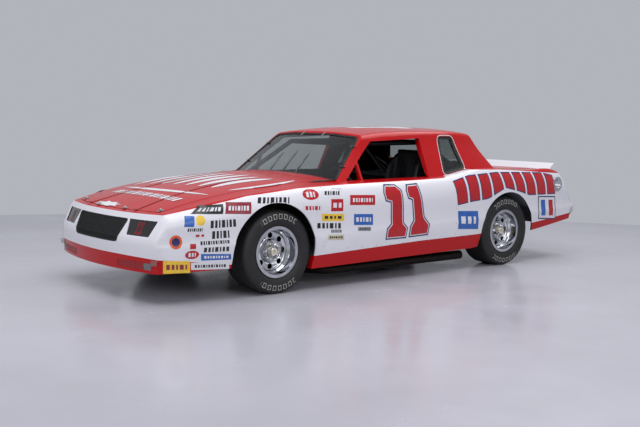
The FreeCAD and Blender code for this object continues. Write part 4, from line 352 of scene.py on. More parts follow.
def enamel(name, colour, undercoat_and_shade=True):
    """Gloss enamel under a clear coat; its colour is a hex value or a function of tree and axes."""
    made, tree, shader, place, axes = start_material(name)
    dust = maths(tree, "MULTIPLY", mottle(tree, place, 1.5, 4.0, (0.35, 0.0), (0.75, 1.0)), DUST_SHARE)
    coated = mix(tree, dust, colour(tree, axes) if callable(colour) else colour, "#8c8a8c")
    if undercoat_and_shade:
        # inner skins face the middle of the car and are left in black undercoat; the same black is painted
        # shade on inward recess walls and on downward faces such as the arch lips
        normal = add(tree, "ShaderNodeNewGeometry").outputs["Normal"]
        outward = add(tree, "ShaderNodeVectorMath", {"operation": "MULTIPLY"}, _0=place, _1=(0.3, 1.0, 2.0))
        outward = add(tree, "ShaderNodeVectorMath", {"operation": "SUBTRACT"}, _0=outward.outputs[0],
                      _1=(0, 0, 1.0))
        facing = add(tree, "ShaderNodeVectorMath", {"operation": "DOT_PRODUCT"}, _0=normal,
                     _1=outward.outputs[0]).outputs["Value"]
        coated = mix(tree, maths(tree, "LESS_THAN", facing, INNER_SKIN), coated, "#17171a")
    plug(tree, shader, Base_Color=coated, Roughness=mottle(tree, place, 4.0, 4.0, (0.3, 0.20), (0.8, 0.27)),
         Coat_Weight=0.15, Coat_Roughness=0.04, IOR=1.45, Specular_IOR_Level=0.22)
    # orange peel, about 5 mm from crest to crest
    bump(tree, shader, noise(tree, place, 180.0, 1.0), 0.00003)
    return made


def livery(tree, axes):
    above = maths(tree, "GREATER_THAN", axes["Z"], height_along(tree, axes["X"], SHOULDER_LINE))
    below = maths(tree, "LESS_THAN", axes["Z"], height_along(tree, axes["X"], SILL_LINE))
    return mix(tree, maths(tree, "MAXIMUM", above, below), WHITE, RED)


reskin(enamel("two-colour race enamel", livery), "nose_piece", "front_fender_left", "front_fender_right",
       "door_left", "door_right", "rocker_panels", "quarter_panel_left", "quarter_panel_right", "tail_panel")
reskin(enamel("red enamel", RED), "hood", "cowl_panel", "roof_and_pillars", "deck_filler_panel", "decklid")
reskin(enamel("white enamel", WHITE, undercoat_and_shade=False), "spoiler")

# %% [markdown]
# ## Drawing and laying
#
# Race numbers, vinyl patches, window seals and pin lines all follow the body's curve. Each is first drawn
# flat, in one of the car's planes, then thrown straight at the panels by a Shrinkwrap modifier and kept as a
# thin sheet just above the paint. Where a throw falls into a seam between panels, the spot takes the height
# of its neighbours, as real vinyl bridges a seam.


# %% Flat outlines
def counter_clockwise(outline):
    """Points in counter-clockwise order, told by the sign of the sum of x1*y2 - x2*y1 round the outline."""
    outline = np.asarray(outline, float)
    after = np.roll(outline, -1, axis=0)
    turning = np.sum(outline[:, 0] * after[:, 1] - after[:, 0] * outline[:, 1])
    return outline if turning > 0 else outline[::-1]


def inset(outline, width, stretch=1.0):
    """Closed outline moved inwards by width, corners mitred: p + width * (n1 + n2) / (1 + n1.n2)."""
    outline = counter_clockwise(outline) * (1, stretch)
    run = np.roll(outline, -1, axis=0) - outline
    run /= np.linalg.norm(run, axis=1)[:, None]
    normal = np.stack([-run[:, 1], run[:, 0]], 1)
    before = np.roll(normal, 1, axis=0)
    spread = 1 + np.sum(normal * before, axis=1)
    return (outline + width * (normal + before) / spread[:, None]) / (1, stretch)


def rounded(outline, radius, steps=6):
    """Closed outline with each corner a quadratic curve that starts and ends radius from the corner."""
    outline = counter_clockwise(outline)
    ends = []
    for shift in (1, -1):
        run = np.roll(outline, shift, axis=0) - outline
        length = np.linalg.norm(run, axis=1)[:, None]
        ends.append(outline + run / length * np.minimum(radius, 0.48 * length))
    t = np.linspace(0, 1, steps)[None, :, None]
    first, corner, last = ends[0][:, None], outline[:, None], ends[1][:, None]
    return (first * (1 - t) ** 2 + 2 * corner * t * (1 - t) + last * t ** 2).reshape(-1, 2)


def spaced(outline, step):
    """Closed outline with extra points along each run, no further apart than step."""
    outline = np.asarray(outline, float)
    ends = np.roll(outline, -1, axis=0)
    counts = np.maximum(1, np.ceil(np.linalg.norm(ends - outline, axis=1) / step).astype(int))
    starts = np.cumsum(counts) - counts
    share = ((np.arange(counts.sum()) - np.repeat(starts, counts)) / np.repeat(counts, counts))[:, None]
    return np.repeat(outline, counts, axis=0) * (1 - share) + np.repeat(ends, counts, axis=0) * share


def oval(x, z, half_x, half_z, steps=28):
    """Ellipse: x + a*cos(t), z + b*sin(t)."""
    turn = np.linspace(0, 2 * math.pi, steps, endpoint=False)
    return np.stack([x + half_x * np.cos(turn), z + half_z * np.sin(turn)], 1)


def filled(outlines, cell):
    """Triangles that fill closed outlines, with inner points on a square grid of the cell size."""
    loops = [spaced(counter_clockwise(outline), cell) for outline in outlines]
    sizes = np.array([len(loop) for loop in loops])
    start = np.repeat(np.cumsum(sizes) - sizes, sizes)
    here = np.arange(sizes.sum())
    edges = np.stack([here, start + (here - start + 1) % np.repeat(sizes, sizes)], 1)
    rim = np.vstack(loops)
    low, high = rim.min(axis=0), rim.max(axis=0)
    inner = np.stack(np.meshgrid(np.arange(low[0] + cell / 3, high[0], cell),
                                 np.arange(low[1] + cell / 3, high[1], cell)), -1).reshape(-1, 2)
    points, _, faces, *_ = delaunay_2d_cdt(np.vstack([rim, inner]).tolist(), edges.tolist(), [], 1, 1e-6)
    points, faces = np.array(points), np.array(faces)
    used, faces = np.unique(faces, return_inverse=True)
    return points[used], faces.reshape(-1, 3)


# %% Laying on the body
# axes an outline is drawn in, axis it is thrown along, and the side it is thrown from
PLANES = {"left": (0, 2, 1, 1), "right": (0, 2, 1, -1), "top": (0, 1, 2, 1), "front": (1, 2, 0, 1),
          "rear": (1, 2, 0, -1)}
# metres: where a throw starts, how far past the typical depth it may land, what counts as a dip at a seam
FAR, DEEPEST, SEAM_DIP = 4.0, 0.30, 0.004
SEAM_PASSES, HEAL_RINGS = 2, 80
# how high each layer of vinyl lies, and how far apart a strip's points are
VINYL_LIFT, STRIP_STEP = 0.0009, 0.012


def target_of(*names):
    """One merged mesh of several frame panels, to lay pieces on; taken away again when they lie."""
    return put("target", merged("target", [nodes[name].data for name in names]))


def bake(piece):
    """Swaps a piece's mesh for its evaluated one and clears its modifiers."""
    graph = bpy.context.evaluated_depsgraph_get()
    mesh = bpy.data.meshes.new_from_object(piece.evaluated_get(graph), depsgraph=graph)
    piece.modifiers.clear()
    piece.data = mesh


def positions(piece):
    flat = np.empty(len(piece.data.vertices) * 3)
    piece.data.vertices.foreach_get("co", flat)
    return flat.reshape(-1, 3)


def neighbour_mean(values, pairs, known):
    """Mean of the known neighbours of each vertex, and how many there are."""
    both = np.vstack([pairs, pairs[:, ::-1]])
    both = both[known[both[:, 1]]]
    total = np.bincount(both[:, 0], values[both[:, 1]], len(values))
    count = np.bincount(both[:, 0], minlength=len(values))
    return total / np.maximum(count, 1), count


def healed(values, pairs, known):
    """Unknown vertices take the mean of their known neighbours, ring by ring inwards."""
    values, known = values.copy(), known.copy()
    for _ in range(HEAL_RINGS):
        if known.all():
            break
        mean, count = neighbour_mean(values, pairs, known)
        fresh = ~known & (count > 0)
        values[fresh] = mean[fresh]
        known |= fresh
    return values


def laid(name, flat, faces, plane, target, lift):
    """A flat mesh thrown onto the target along the plane's axis, lift metres proud, seams bridged."""
    u, v, depth, side = PLANES[plane]
    points = np.empty((len(flat), 3))
    points[:, u], points[:, v], points[:, depth] = flat[:, 0], flat[:, 1], side * FAR
    # drawn counter-clockwise in x and z, a face looks to the car's right, in the other planes along the axis
    outward = -1 if depth == 1 else 1
    made = mesh_piece(name, points, faces if outward == side else faces[:, ::-1])
    wrap = made.modifiers.new("lay", "SHRINKWRAP")
    wrap.target = target
    wrap.wrap_method = "PROJECT"
    wrap.use_project_x, wrap.use_project_y, wrap.use_project_z = (depth == axis for axis in range(3))
    wrap.use_positive_direction = side < 0
    wrap.use_negative_direction = side > 0
    bake(made)
    found = positions(made)
    reach = found[:, depth] * side
    pairs = np.vstack([faces[:, [k, (k + 1) % faces.shape[1]]] for k in range(faces.shape[1])])
    known = reach < FAR - 0.001
    known &= reach > np.median(reach[known]) - DEEPEST
    reach = healed(reach, pairs, known)
    everywhere = np.ones(len(reach), bool)
    for _ in range(SEAM_PASSES):
        mean = neighbour_mean(reach, pairs, everywhere)[0]
        reach = healed(reach, pairs, mean - reach < SEAM_DIP)
    found[:, depth] = (reach + lift) * side
    made.data.vertices.foreach_set("co", found.ravel())
    made.data.update()
    return made


def thicken(piece, thickness):
    """Gives a laid sheet a wall that grows outwards from it."""
    wall = piece.modifiers.new("wall", "SOLIDIFY")
    wall.thickness = thickness
    wall.offset = 1.0
    bake(piece)
    return creased(piece, SHEET_CREASE)


def patch(name, outlines, plane, target, material, layer=1, body="chassis", cell=0.011):
    """Vinyl cut to flat outlines and laid on the body; a higher layer lies over a lower one."""
    made = laid(name, *filled(outlines, cell), plane, target, VINYL_LIFT * layer)
    return dress(made, body, material)


def frame_strip(name, outline, width, plane, target, material, thickness, stretch=1.0, lift=0.0, columns=4):
    """A band inside a closed outline, from its line to width inwards, standing thickness proud."""
    path = spaced(outline, STRIP_STEP)
    flat = np.stack([inset(path, share * width, stretch) for share in np.linspace(0, 1, columns)], 1)
    faces = grid_faces(len(path), columns, close_rows=True)
    made = laid(name, flat.reshape(-1, 2), faces, plane, target, lift)
    return dress(thicken(made, thickness), "chassis", material)


# %% [markdown]
# Round and long parts come from two more formulas: a profile turned about an axis, and a section carried
# along a path. Doubles are merged and the faces turned outwards afterwards, so each one is a closed shell.


# %% Turned and swept shells
def closed_shell(name, grid, close_rows, close_columns):
    """A grid of points as a shell whose doubles are merged and whose faces look outwards."""
    made = grid_piece(name, grid, close_rows, close_columns)
    made.data = merged(name, [made.data], 1e-6, turn_out=True)
    return creased(made, SHELL_CREASE)


def unit(rows):
    return rows / np.linalg.norm(rows, axis=-1, keepdims=True)


def turned(name, profile, centres, axis, steps=48, close_profile=False):
    """(radius, along) points turned about an axis: c + along*axis + radius*(cos t*e1 + sin t*e2)."""
    axis = unit(np.array(axis, float))
    first = unit(np.cross(axis, (0.31, 0.17, 0.93)))
    second = np.cross(axis, first)
    turn = np.linspace(0, 2 * math.pi, steps, endpoint=False)[:, None]
    ray = np.cos(turn) * first + np.sin(turn) * second
    profile = np.array(profile, float)
    one = profile[None, :, 1:] * axis + profile[None, :, :1] * ray[:, None]
    return joined(name, [closed_shell(name, one + np.array(centre), True, close_profile)
                         for centre in np.atleast_2d(centres)])


def joined(name, parts):
    """Several objects as one mesh."""
    mesh = merged(name, [part.data for part in parts], 0)
    for part in parts:
        bpy.data.objects.remove(part)
    return put(name, mesh)


def curve_through(points, count):
    """Catmull-Rom curve: each stretch is the cubic through its ends with slopes half of the outer chords."""
    points = np.array(points, float)
    padded = np.vstack([2 * points[0] - points[1], points, 2 * points[-1] - points[-2]])
    at = np.linspace(0, len(points) - 1.000001, count)
    leg = at.astype(int)
    t = (at - leg)[:, None]
    a, b, c, d = (padded[leg + k] for k in range(4))
    bend, twist = 2 * a - 5 * b + 4 * c - d, 3 * b - a - 3 * c + d
    return 0.5 * (2 * b + (c - a) * t + bend * t ** 2 + twist * t ** 3)


def swept(name, path, section, across):
    """A closed section carried along a path; its first axis stays as near to across as the path allows."""
    path, section, across = (np.array(values, float) for values in (path, section, across))
    tangent = unit(np.gradient(path, axis=0))
    side = unit(across - np.sum(tangent * across, -1, keepdims=True) * tangent)
    rise = np.cross(tangent, side)
    grid = path[:, None] + section[None, :, :1] * side[:, None] + section[None, :, 1:] * rise[:, None]
    ends = np.repeat(path[[0, -1], None], grid.shape[1], axis=1)
    return closed_shell(name, np.concatenate([ends[:1], grid, ends[1:]]), False, True)


def box_section(width, height):
    return np.array([(-width, -height), (width, -height), (width, height), (-width, height)]) / 2


# %% [markdown]
# ## Finishes
#
# Most finishes of a race car are one of a few kinds: paint, bare or plated metal, rubber and vinyl. They
# differ in colour, in how rough they are and in the size of their grain, so one function mixes these and each
# material below says what its real counterpart is.


# %% One function for plain finishes
def finish(name, tones, roughness, grain, depth=0.0, metallic=0.0, coat=0.0):
    """Two hex colours and two roughness values blended by noise of the grain size in metres, plus a bump."""
    made, tree, shader, place, _ = start_material(name)
    cloud = noise(tree, place, 1 / grain, 5.0, 0.55)
    plug(tree, shader, Base_Color=ramp(tree, cloud, (0.3, tones[0]), (0.7, tones[1])),
         Roughness=mottle(tree, place, 0.6 / grain, 6.0, (0.3, roughness[0]), (0.7, roughness[1])),
         Metallic=metallic, Coat_Weight=coat, Coat_Roughness=0.06)
    if depth:
        bump(tree, shader, cloud, depth)
    return made


# satin black powder coat: even dark grey, soft wide highlights, faint orange peel at 4 mm
black_coat = finish("satin black powder coat", ("#131417", "#1b1c20"), (0.38, 0.52), 0.004, 0.00004)
# engine enamel in mid grey on frame rails and arms: semi-gloss, dusted by use
frame_paint = finish("grey chassis enamel", ("#3c3f45", "#4a4d54"), (0.30, 0.45), 0.03, 0.00003)
# rolled steel sheet in grey primer, on floor, firewall and tubs: dull, with brushed-on streaks
primer_sheet = finish("grey primer on sheet steel", ("#34363a", "#44464b"), (0.55, 0.75), 0.05, 0.00004)
# sand-cast iron and aluminium housings: matt, pitted at 2 mm
cast_metal = finish("sand-cast metal", ("#5a5b5e", "#77787b"), (0.50, 0.65), 0.002, 0.0002, metallic=0.8)
# zinc plate on springs, rods and brackets: greyish, half-gloss
zinc_plate = finish("zinc plated steel", ("#9a9a98", "#b9b8b2"), (0.28, 0.42), 0.012, 0.00002, metallic=1.0)
# bare mild steel exhaust tube: blued and browned by heat, dull
hot_steel = finish("heat-stained steel tube", ("#211e1d", "#37302b"), (0.42, 0.62), 0.02, 0.00005, 0.9)
# drawn aluminium sheet and tube: pale, brushed
bare_aluminium = finish("brushed aluminium", ("#b4b6b9", "#c7c9cc"), (0.25, 0.38), 0.006, 0.00002, 1.0)
# chrome plate on the wheels: a clear mirror with faint dust on it
chrome = finish("chrome plate", ("#b6b8bc", "#c8c9ce"), (0.05, 0.12), 0.05, metallic=1.0)
# stainless screws, clips and pins: bright, faintly yellow beside the chrome
stainless = finish("stainless steel", ("#b7b7b5", "#cacac8"), (0.18, 0.30), 0.004, metallic=1.0)
# extruded window rubber: black with a grey bloom
window_rubber = finish("window rubber", ("#0d0d0e", "#191919"), (0.45, 0.60), 0.006, 0.00003)
# cream enamel on the hub ends: pale and half-gloss
hub_paint = finish("cream hub enamel", ("#cfc4a4", "#ddd3b6"), (0.30, 0.42), 0.01, 0.00002)
# leather-like black vinyl over the seat foam: pebble grain of 3 mm
seat_vinyl = finish("grained black vinyl", ("#101114", "#1e1f24"), (0.42, 0.58), 0.003, 0.0003)
# woven nylon harness in black: dull, close weave drawn at 2 mm
belt_webbing = finish("black nylon webbing", ("#131316", "#222227"), (0.62, 0.75), 0.002, 0.0002)
# rubber grip of the steering wheel: soft black with moulded stipple
grip_rubber = finish("stippled grip rubber", ("#0e0e10", "#17171a"), (0.55, 0.70), 0.0015, 0.0002)
# woven steel screen painted black: dark, with soft highlights along its wires
screen_black = finish("black painted wire", ("#08080a", "#121215"), (0.40, 0.55), 0.004)
# cast vinyl film: flat bright colour, gloss of a smooth film, mottled a little where glue shows
VINYL_TONES = {
    "white": ("#dddce2", "#d3d2d9"), "black": ("#151519", "#1d1d22"), "red": ("#b80f1a", "#a80d17"),
    "navy": ("#222a66", "#1d2458"), "blue": ("#2b62b4", "#2758a3"), "yellow": ("#ecc43a", "#e0b631"),
    "orange": ("#e0602a", "#d25524"), "maroon": ("#8c1f30", "#7e1b2b"), "beige": ("#cfc8ae", "#c2bba1"),
    "grey": ("#8f9096", "#84858b")}
VINYL = {colour: finish(f"{colour} cast vinyl", tones, (0.22, 0.34), 0.06, 0.00002)
         for colour, tones in VINYL_TONES.items()}
print(len(bpy.data.materials), "materials so far")

# %% [markdown]
# ## Wheels and tyres
#
# Each tyre is a wide racing slick on a chromed steel rim. The frame's tyre has flat sides, so a lathe turns a
# fuller one: the sidewall bulges, a rib guards the rim and the shoulder is round. All of it stays inside the
# frame's tyre box. The faded block marks on the sidewall are paint, so the rubber's material draws them from
# the angle and distance to the wheel's middle.

# %% Tyre rubber
AXLE_X, HALF_TRACK, TYRE_RADIUS = 1.397, 0.762, 0.338
CORNERS = {f"{end}_{hand}": (sign * AXLE_X, HALF_TRACK * SIDES[hand], TYRE_RADIUS)
           for end, sign in (("front", 1), ("rear", -1)) for hand in SIDES}
MARK_RADIUS, MARK_HALF_HEIGHT, MARK_LINE = 0.2880, 0.0200, 0.0045
MARK_PITCH_DEGREES, MARK_SHARE, MARK_ARC_DEGREES = 10.5, 0.62, 36.0
MARK_OUTSIDE, MARK_COLOUR, RING_PITCH = 0.10, "#c4c2ba", 0.006


def tyre_rubber():
    """Dark worn rubber with two arcs of pale outlined blocks, drawn in polar form on the outer sidewall."""
    made, tree, shader, place, axes = start_material("racing tyre rubber")
    m = partial(maths, tree)
    along = m("SUBTRACT", m("ABSOLUTE", axes["X"]), AXLE_X)
    high = m("SUBTRACT", axes["Z"], TYRE_RADIUS)
    away = m("SQRT", m("ADD", m("MULTIPLY", along, along), m("MULTIPLY", high, high)))
    # degrees from straight up or straight down, whichever is nearer
    angle = m("DEGREES", m("ARCTAN2", along, m("ABSOLUTE", high)))
    in_arc = m("LESS_THAN", m("ABSOLUTE", angle), MARK_ARC_DEGREES)
    pitch = m("DIVIDE", m("ADD", angle, 360.0 + MARK_PITCH_DEGREES / 2), MARK_PITCH_DEGREES)
    across = m("ABSOLUTE", m("SUBTRACT", m("FRACT", pitch), 0.5))
    half_width = math.radians(MARK_PITCH_DEGREES) * MARK_RADIUS * MARK_SHARE / 2
    # how far inside the block's edge the point lies, across and up
    side_depth = m("SUBTRACT", half_width, m("MULTIPLY", across, 2 * half_width / MARK_SHARE))
    height_depth = m("SUBTRACT", MARK_HALF_HEIGHT, m("ABSOLUTE", m("SUBTRACT", away, MARK_RADIUS)))
    depth = m("MINIMUM", side_depth, height_depth)
    on_line = m("MULTIPLY", m("GREATER_THAN", depth, 0.0), m("LESS_THAN", depth, MARK_LINE))
    outside = m("GREATER_THAN", m("ABSOLUTE", axes["Y"]), HALF_TRACK + MARK_OUTSIDE)
    worn = mottle(tree, place, 90.0, 4.0, (0.35, 0.45), (0.6, 1.0))
    mark = m("MULTIPLY", m("MULTIPLY", on_line, in_arc), m("MULTIPLY", outside, worn))
    dark = mottle(tree, place, 40.0, 6.0, (0.3, "#101012"), (0.7, "#19191b"))
    # the tread is scuffed dull, the sidewall keeps some of the mould's gloss
    tread = m("GREATER_THAN", away, TYRE_RADIUS - 0.008)
    sidewall = mottle(tree, place, 25.0, 5.0, (0.3, 0.50), (0.7, 0.64))
    plug(tree, shader, Base_Color=mix(tree, mark, dark, MARK_COLOUR),
         Roughness=m("ADD", m("MULTIPLY", tread, 0.20), sidewall))
    # the mould's fine rings round the sidewall, drawn shallow under the grain of the rubber
    rings = m("SINE", m("MULTIPLY", away, 2 * math.pi / RING_PITCH))
    bump(tree, shader, m("ADD", m("MULTIPLY", rings, 0.2), noise(tree, place, 400.0, 2.0)), 0.0003)
    return made


# %% Tyres turned on a lathe
# (half width, radius) points from the rim's seat over the sidewall to the middle of the tread
TYRE_HALF_SECTION = ((0.000, 0.2092), (0.1200, 0.2092), (0.1290, 0.2170), (0.1380, 0.2320), (0.1478, 0.2560),
                     (0.1497, 0.2760), (0.1475, 0.3000), (0.1420, 0.3160), (0.1320, 0.3290), (0.1180, 0.3358),
                     (0.0900, 0.3374), (0.000, 0.3380))
SEAT_RADIUS, HALF_WIDTH = 0.2092, 0.1499
RIB_RADIUS, RIB_HEIGHT, RIB_WIDTH = 0.2390, 0.0022, 0.003
half_section = curve_through(TYRE_HALF_SECTION, 70)
# the rib that guards the rim is a bell curve round its own radius
half_section[:, 0] += RIB_HEIGHT * np.exp(-((half_section[:, 1] - RIB_RADIUS) / RIB_WIDTH) ** 2)
half_section = np.clip(half_section, (0, SEAT_RADIUS), (HALF_WIDTH, TYRE_RADIUS))
tyre_section = np.vstack([half_section, (half_section * (-1, 1))[-2:0:-1]])
rubber = tyre_rubber()
for corner, centre in CORNERS.items():
    tyre = turned(f"tyre_{corner}_rubber", tyre_section[:, ::-1], centre, (0, 1, 0), 144, True)
    dress(tyre, f"wheel_{corner}", rubber)
    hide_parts(f"tyre_{corner}")

# %% [markdown]
# The rims keep the frame's shape, with eight round holes and a deep stepped lip. Hex nuts, washers, a bright
# ring round the cream hub end and an air valve make them read as bolted steel wheels.

# %% Rims, nuts and hub ends
DISC_FACE, LUG_CIRCLE, VALVE_OUT = 0.050, 0.0635, 0.118
# profiles as (radius, distance out of the wheel's middle or the disc's face)
WASHER = ((0.0, -0.001), (0.0165, -0.001), (0.0175, 0.001), (0.0165, 0.0035), (0.0, 0.0035))
NUT = ((0.0, 0.0), (0.0142, 0.0), (0.0146, 0.004), (0.0146, 0.017), (0.0125, 0.0225), (0.0085, 0.023),
       (0.0075, 0.0185), (0.0, 0.0185))
HUB_CUP = ((0.0, 0.04), (0.0365, 0.04), (0.0365, 0.078), (0.0345, 0.0865), (0.0265, 0.0945), (0.012, 0.0945),
           (0.010, 0.0915), (0.0, 0.0915))
HUB_RING = ((0.037, 0.055), (0.0425, 0.055), (0.0425, 0.061), (0.037, 0.063))
VALVE = ((0.0, 0.098), (0.0035, 0.098), (0.0035, 0.118), (0.0045, 0.119), (0.0045, 0.126), (0.0, 0.127))
lug_turn = np.radians(90 + 72 * np.arange(5))
for corner, (x, y, z) in CORNERS.items():
    out = SIDES[corner.split("_")[1]]
    lugs = np.stack([x + LUG_CIRCLE * np.cos(lug_turn), np.full(5, y + out * DISC_FACE),
                     z + LUG_CIRCLE * np.sin(lug_turn)], 1)
    reskin(chrome, f"rim_{corner}")
    for name, profile, where, steps, closed, material in (
            ("lug_washers", WASHER, lugs, 28, False, zinc_plate),
            ("lug_nuts", NUT, lugs, 6, False, stainless),
            ("hub_cup", HUB_CUP, (x, y, z), 48, False, hub_paint),
            ("hub_ring", HUB_RING, (x, y, z), 48, True, zinc_plate),
            ("valve", VALVE, (x + VALVE_OUT, y, z + VALVE_OUT), 14, False, window_rubber)):
        trim = turned(f"{name}_{corner}", profile, where, (0, out, 0), steps, closed)
        dress(trim, f"wheel_{corner}", material)
print("wheels dressed:", ", ".join(CORNERS))

# %% [markdown]
# ## Glass and its seals
#
# The windshield and backlight are laminated and toughened glass, nearly clear. Race cars hold them with black
# rubber seals and bright clips screwed to the body. A seal is a band laid over the joint of glass and panel.


# %% Glass
def clear_glass():
    """Clear sheet glass: no colour but a faint green-grey, smooth, with a little dust that softens it."""
    made, tree, shader, place, _ = start_material("clear safety glass")
    dust = noise(tree, place, 6.0, 6.0)
    plug(tree, shader, Roughness=ramp(tree, dust, (0.35, 0.0), (0.8, 0.06)), IOR=1.45,
         Base_Color=ramp(tree, dust, (0.3, "#a9b1af"), (0.8, "#9ea6a4")), Transmission_Weight=1.0)
    return made


reskin(clear_glass(), "windshield", "backlight", "quarter_windows")

# %% Seals, pin lines and clips
WINDSHIELD = ((-0.758, 0.868), (0.758, 0.868), (0.595, 1.246), (0.2975, 1.268), (-0.2975, 1.268),
              (-0.595, 1.246))
BACKLIGHT = ((-0.695, 0.985), (0.695, 0.985), (0.540, 1.240), (-0.540, 1.240))
QUARTER_WINDOW = ((-0.618, 0.907), (-0.684, 1.252), (-0.880, 1.252), (-0.916, 0.954))
SEAL_WIDTH, SIDE_SEAL_WIDTH, PIN_LINE_WIDTH, SEAL_PROUD = 0.026, 0.030, 0.006, 0.0045
# each row: node, its outline, the panel below it, plane, how far the slope of the glass stretches a height
for node, outline, below, plane, slope in (("windshield", WINDSHIELD, "cowl_panel", "front", 1.45),
                                           ("backlight", BACKLIGHT, "deck_filler_panel", "rear", 1.32)):
    frame_strip(f"{node}_seal", inset(rounded(outline, 0.05), -0.004), SEAL_WIDTH, plane,
                target_of(node, "roof_and_pillars", below), window_rubber, SEAL_PROUD, slope)
side_targets = {side: target_of(f"front_fender_{side}", f"door_{side}", f"quarter_panel_{side}",
                                "rocker_panels", "nose_piece", "tail_panel", "roof_and_pillars",
                                "quarter_windows") for side in SIDES}
quarter_line = rounded(QUARTER_WINDOW, 0.045)
for side, target in side_targets.items():
    frame_strip(f"quarter_window_seal_{side}", inset(quarter_line, -0.006), SIDE_SEAL_WIDTH, side, target,
                window_rubber, SEAL_PROUD)
    frame_strip(f"quarter_window_pin_line_{side}", inset(quarter_line, -0.016), PIN_LINE_WIDTH, side, target,
                VINYL["white"], 0.0004, lift=VINYL_LIFT, columns=3)


def clip_at(spot, along):
    """A bright glass clip: a bent strip 60 mm long and 22 mm wide whose end steps down onto the glass."""
    along = unit(np.array(along, float))
    t = np.linspace(-1, 1, 13)[:, None]
    path = np.array(spot) + along * t * 0.030 + np.array((0, 0, 1)) * (0.0045 + 0.0015 * np.tanh(-6 * t))
    return swept("clip", path, box_section(0.022, 0.0022), np.cross(along, (0, 0, 1)))


clips = [clip_at((0.322 - 0.012 * (y / 0.3) ** 2, y, 1.262 - 0.020 * (y / 0.44) ** 2), (0.82, 0, -0.57))
         for y in (-0.44, -0.15, 0.15, 0.44)]
for side in SIDES.values():
    clips += [clip_at((x, side * y, z), (0.2, -side, 0.1)) for x, y, z in ((0.378, 0.632, 1.165),
                                                                         (0.560, 0.706, 0.995))]
dress(joined("windshield_clips", clips), "chassis", stainless)
print("seals and", len(clips), "clips")

# %% [markdown]
# ## Race numbers and vinyl
#
# The numbers are plain block numerals with a navy border, a white line and a red face: three sheets of vinyl,
# each cut from the one below by moving its outline inwards. Blank coloured patches and rows of plain blocks
# fill the fenders, doors and quarter panels. They are vinyl too, in up to three layers.

# %% Race numbers
NUMERALS = (((0.262, 0.848), (0.127, 0.844), (0.064, 0.792), (0.038, 0.504), (-0.010, 0.456), (0.002, 0.362),
             (0.254, 0.363), (0.250, 0.461), (0.198, 0.502), (0.212, 0.688), (0.272, 0.702), (0.290, 0.778)),
            ((-0.004, 0.840), (-0.145, 0.846), (-0.220, 0.546), (-0.287, 0.474), (-0.275, 0.372),
             (-0.029, 0.366), (-0.033, 0.466), (-0.078, 0.520), (-0.048, 0.700), (-0.001, 0.713),
             (0.017, 0.785)))
NUMERALS_MIDDLE, NUMERALS_HEIGHT = (0.0015, 0.605), 0.486
NUMERAL_LAYERS = ((0.0, "navy"), (0.012, "white"), (0.020, "red"))


def numerals(centre, height, turn=0.0, mirror=False):
    """The pair of numerals moved to a centre, scaled to a height and turned in their plane."""
    spin = np.array(((math.cos(turn), -math.sin(turn)), (math.sin(turn), math.cos(turn))))
    scale = np.array((-1 if mirror else 1, 1)) * (height / NUMERALS_HEIGHT)
    return [((np.array(shape) - NUMERALS_MIDDLE) * scale) @ spin.T + centre for shape in NUMERALS]


for side, target in side_targets.items():
    pair = numerals(NUMERALS_MIDDLE, NUMERALS_HEIGHT, mirror=side == "right")
    for layer, (width, colour) in enumerate(NUMERAL_LAYERS, 1):
        patch(f"door_number_{side}_{colour}", [inset(shape, width) for shape in pair], side, target,
              VINYL[colour], layer)
patch("roof_number", numerals((-0.36, 0.0), 0.62, turn=-math.pi / 2), "top", target_of("roof_and_pillars"),
      VINYL["white"])
lamp_target = target_of("headlamp_covers")
# one slim numeral, drawn one unit high round its own middle, stands twice on each lamp cover
SLIM_NUMERAL = np.array(((-0.20, -0.50), (0.20, -0.50), (0.20, -0.38), (0.10, -0.34), (0.10, 0.50),
                         (-0.08, 0.50), (-0.20, 0.38), (-0.20, 0.26), (-0.10, 0.30), (-0.10, -0.34),
                         (-0.20, -0.38)))
SLIM_HEIGHT, SLIM_BORDER, SLIM_MIDDLE = 0.086, 0.0038, (0.565, 0.560)
for side, sign in SIDES.items():
    small = [SLIM_NUMERAL * SLIM_HEIGHT + (sign * SLIM_MIDDLE[0] + shift, SLIM_MIDDLE[1])
             for shift in (-0.021, 0.021)]
    patch(f"lamp_cover_number_{side}", small, "front", lamp_target, VINYL["red"], cell=0.008)
    patch(f"lamp_cover_number_face_{side}", [inset(shape, SLIM_BORDER) for shape in small], "front",
          lamp_target, VINYL["black"], 2, cell=0.008)
print("race numbers on doors, roof and lamp covers")

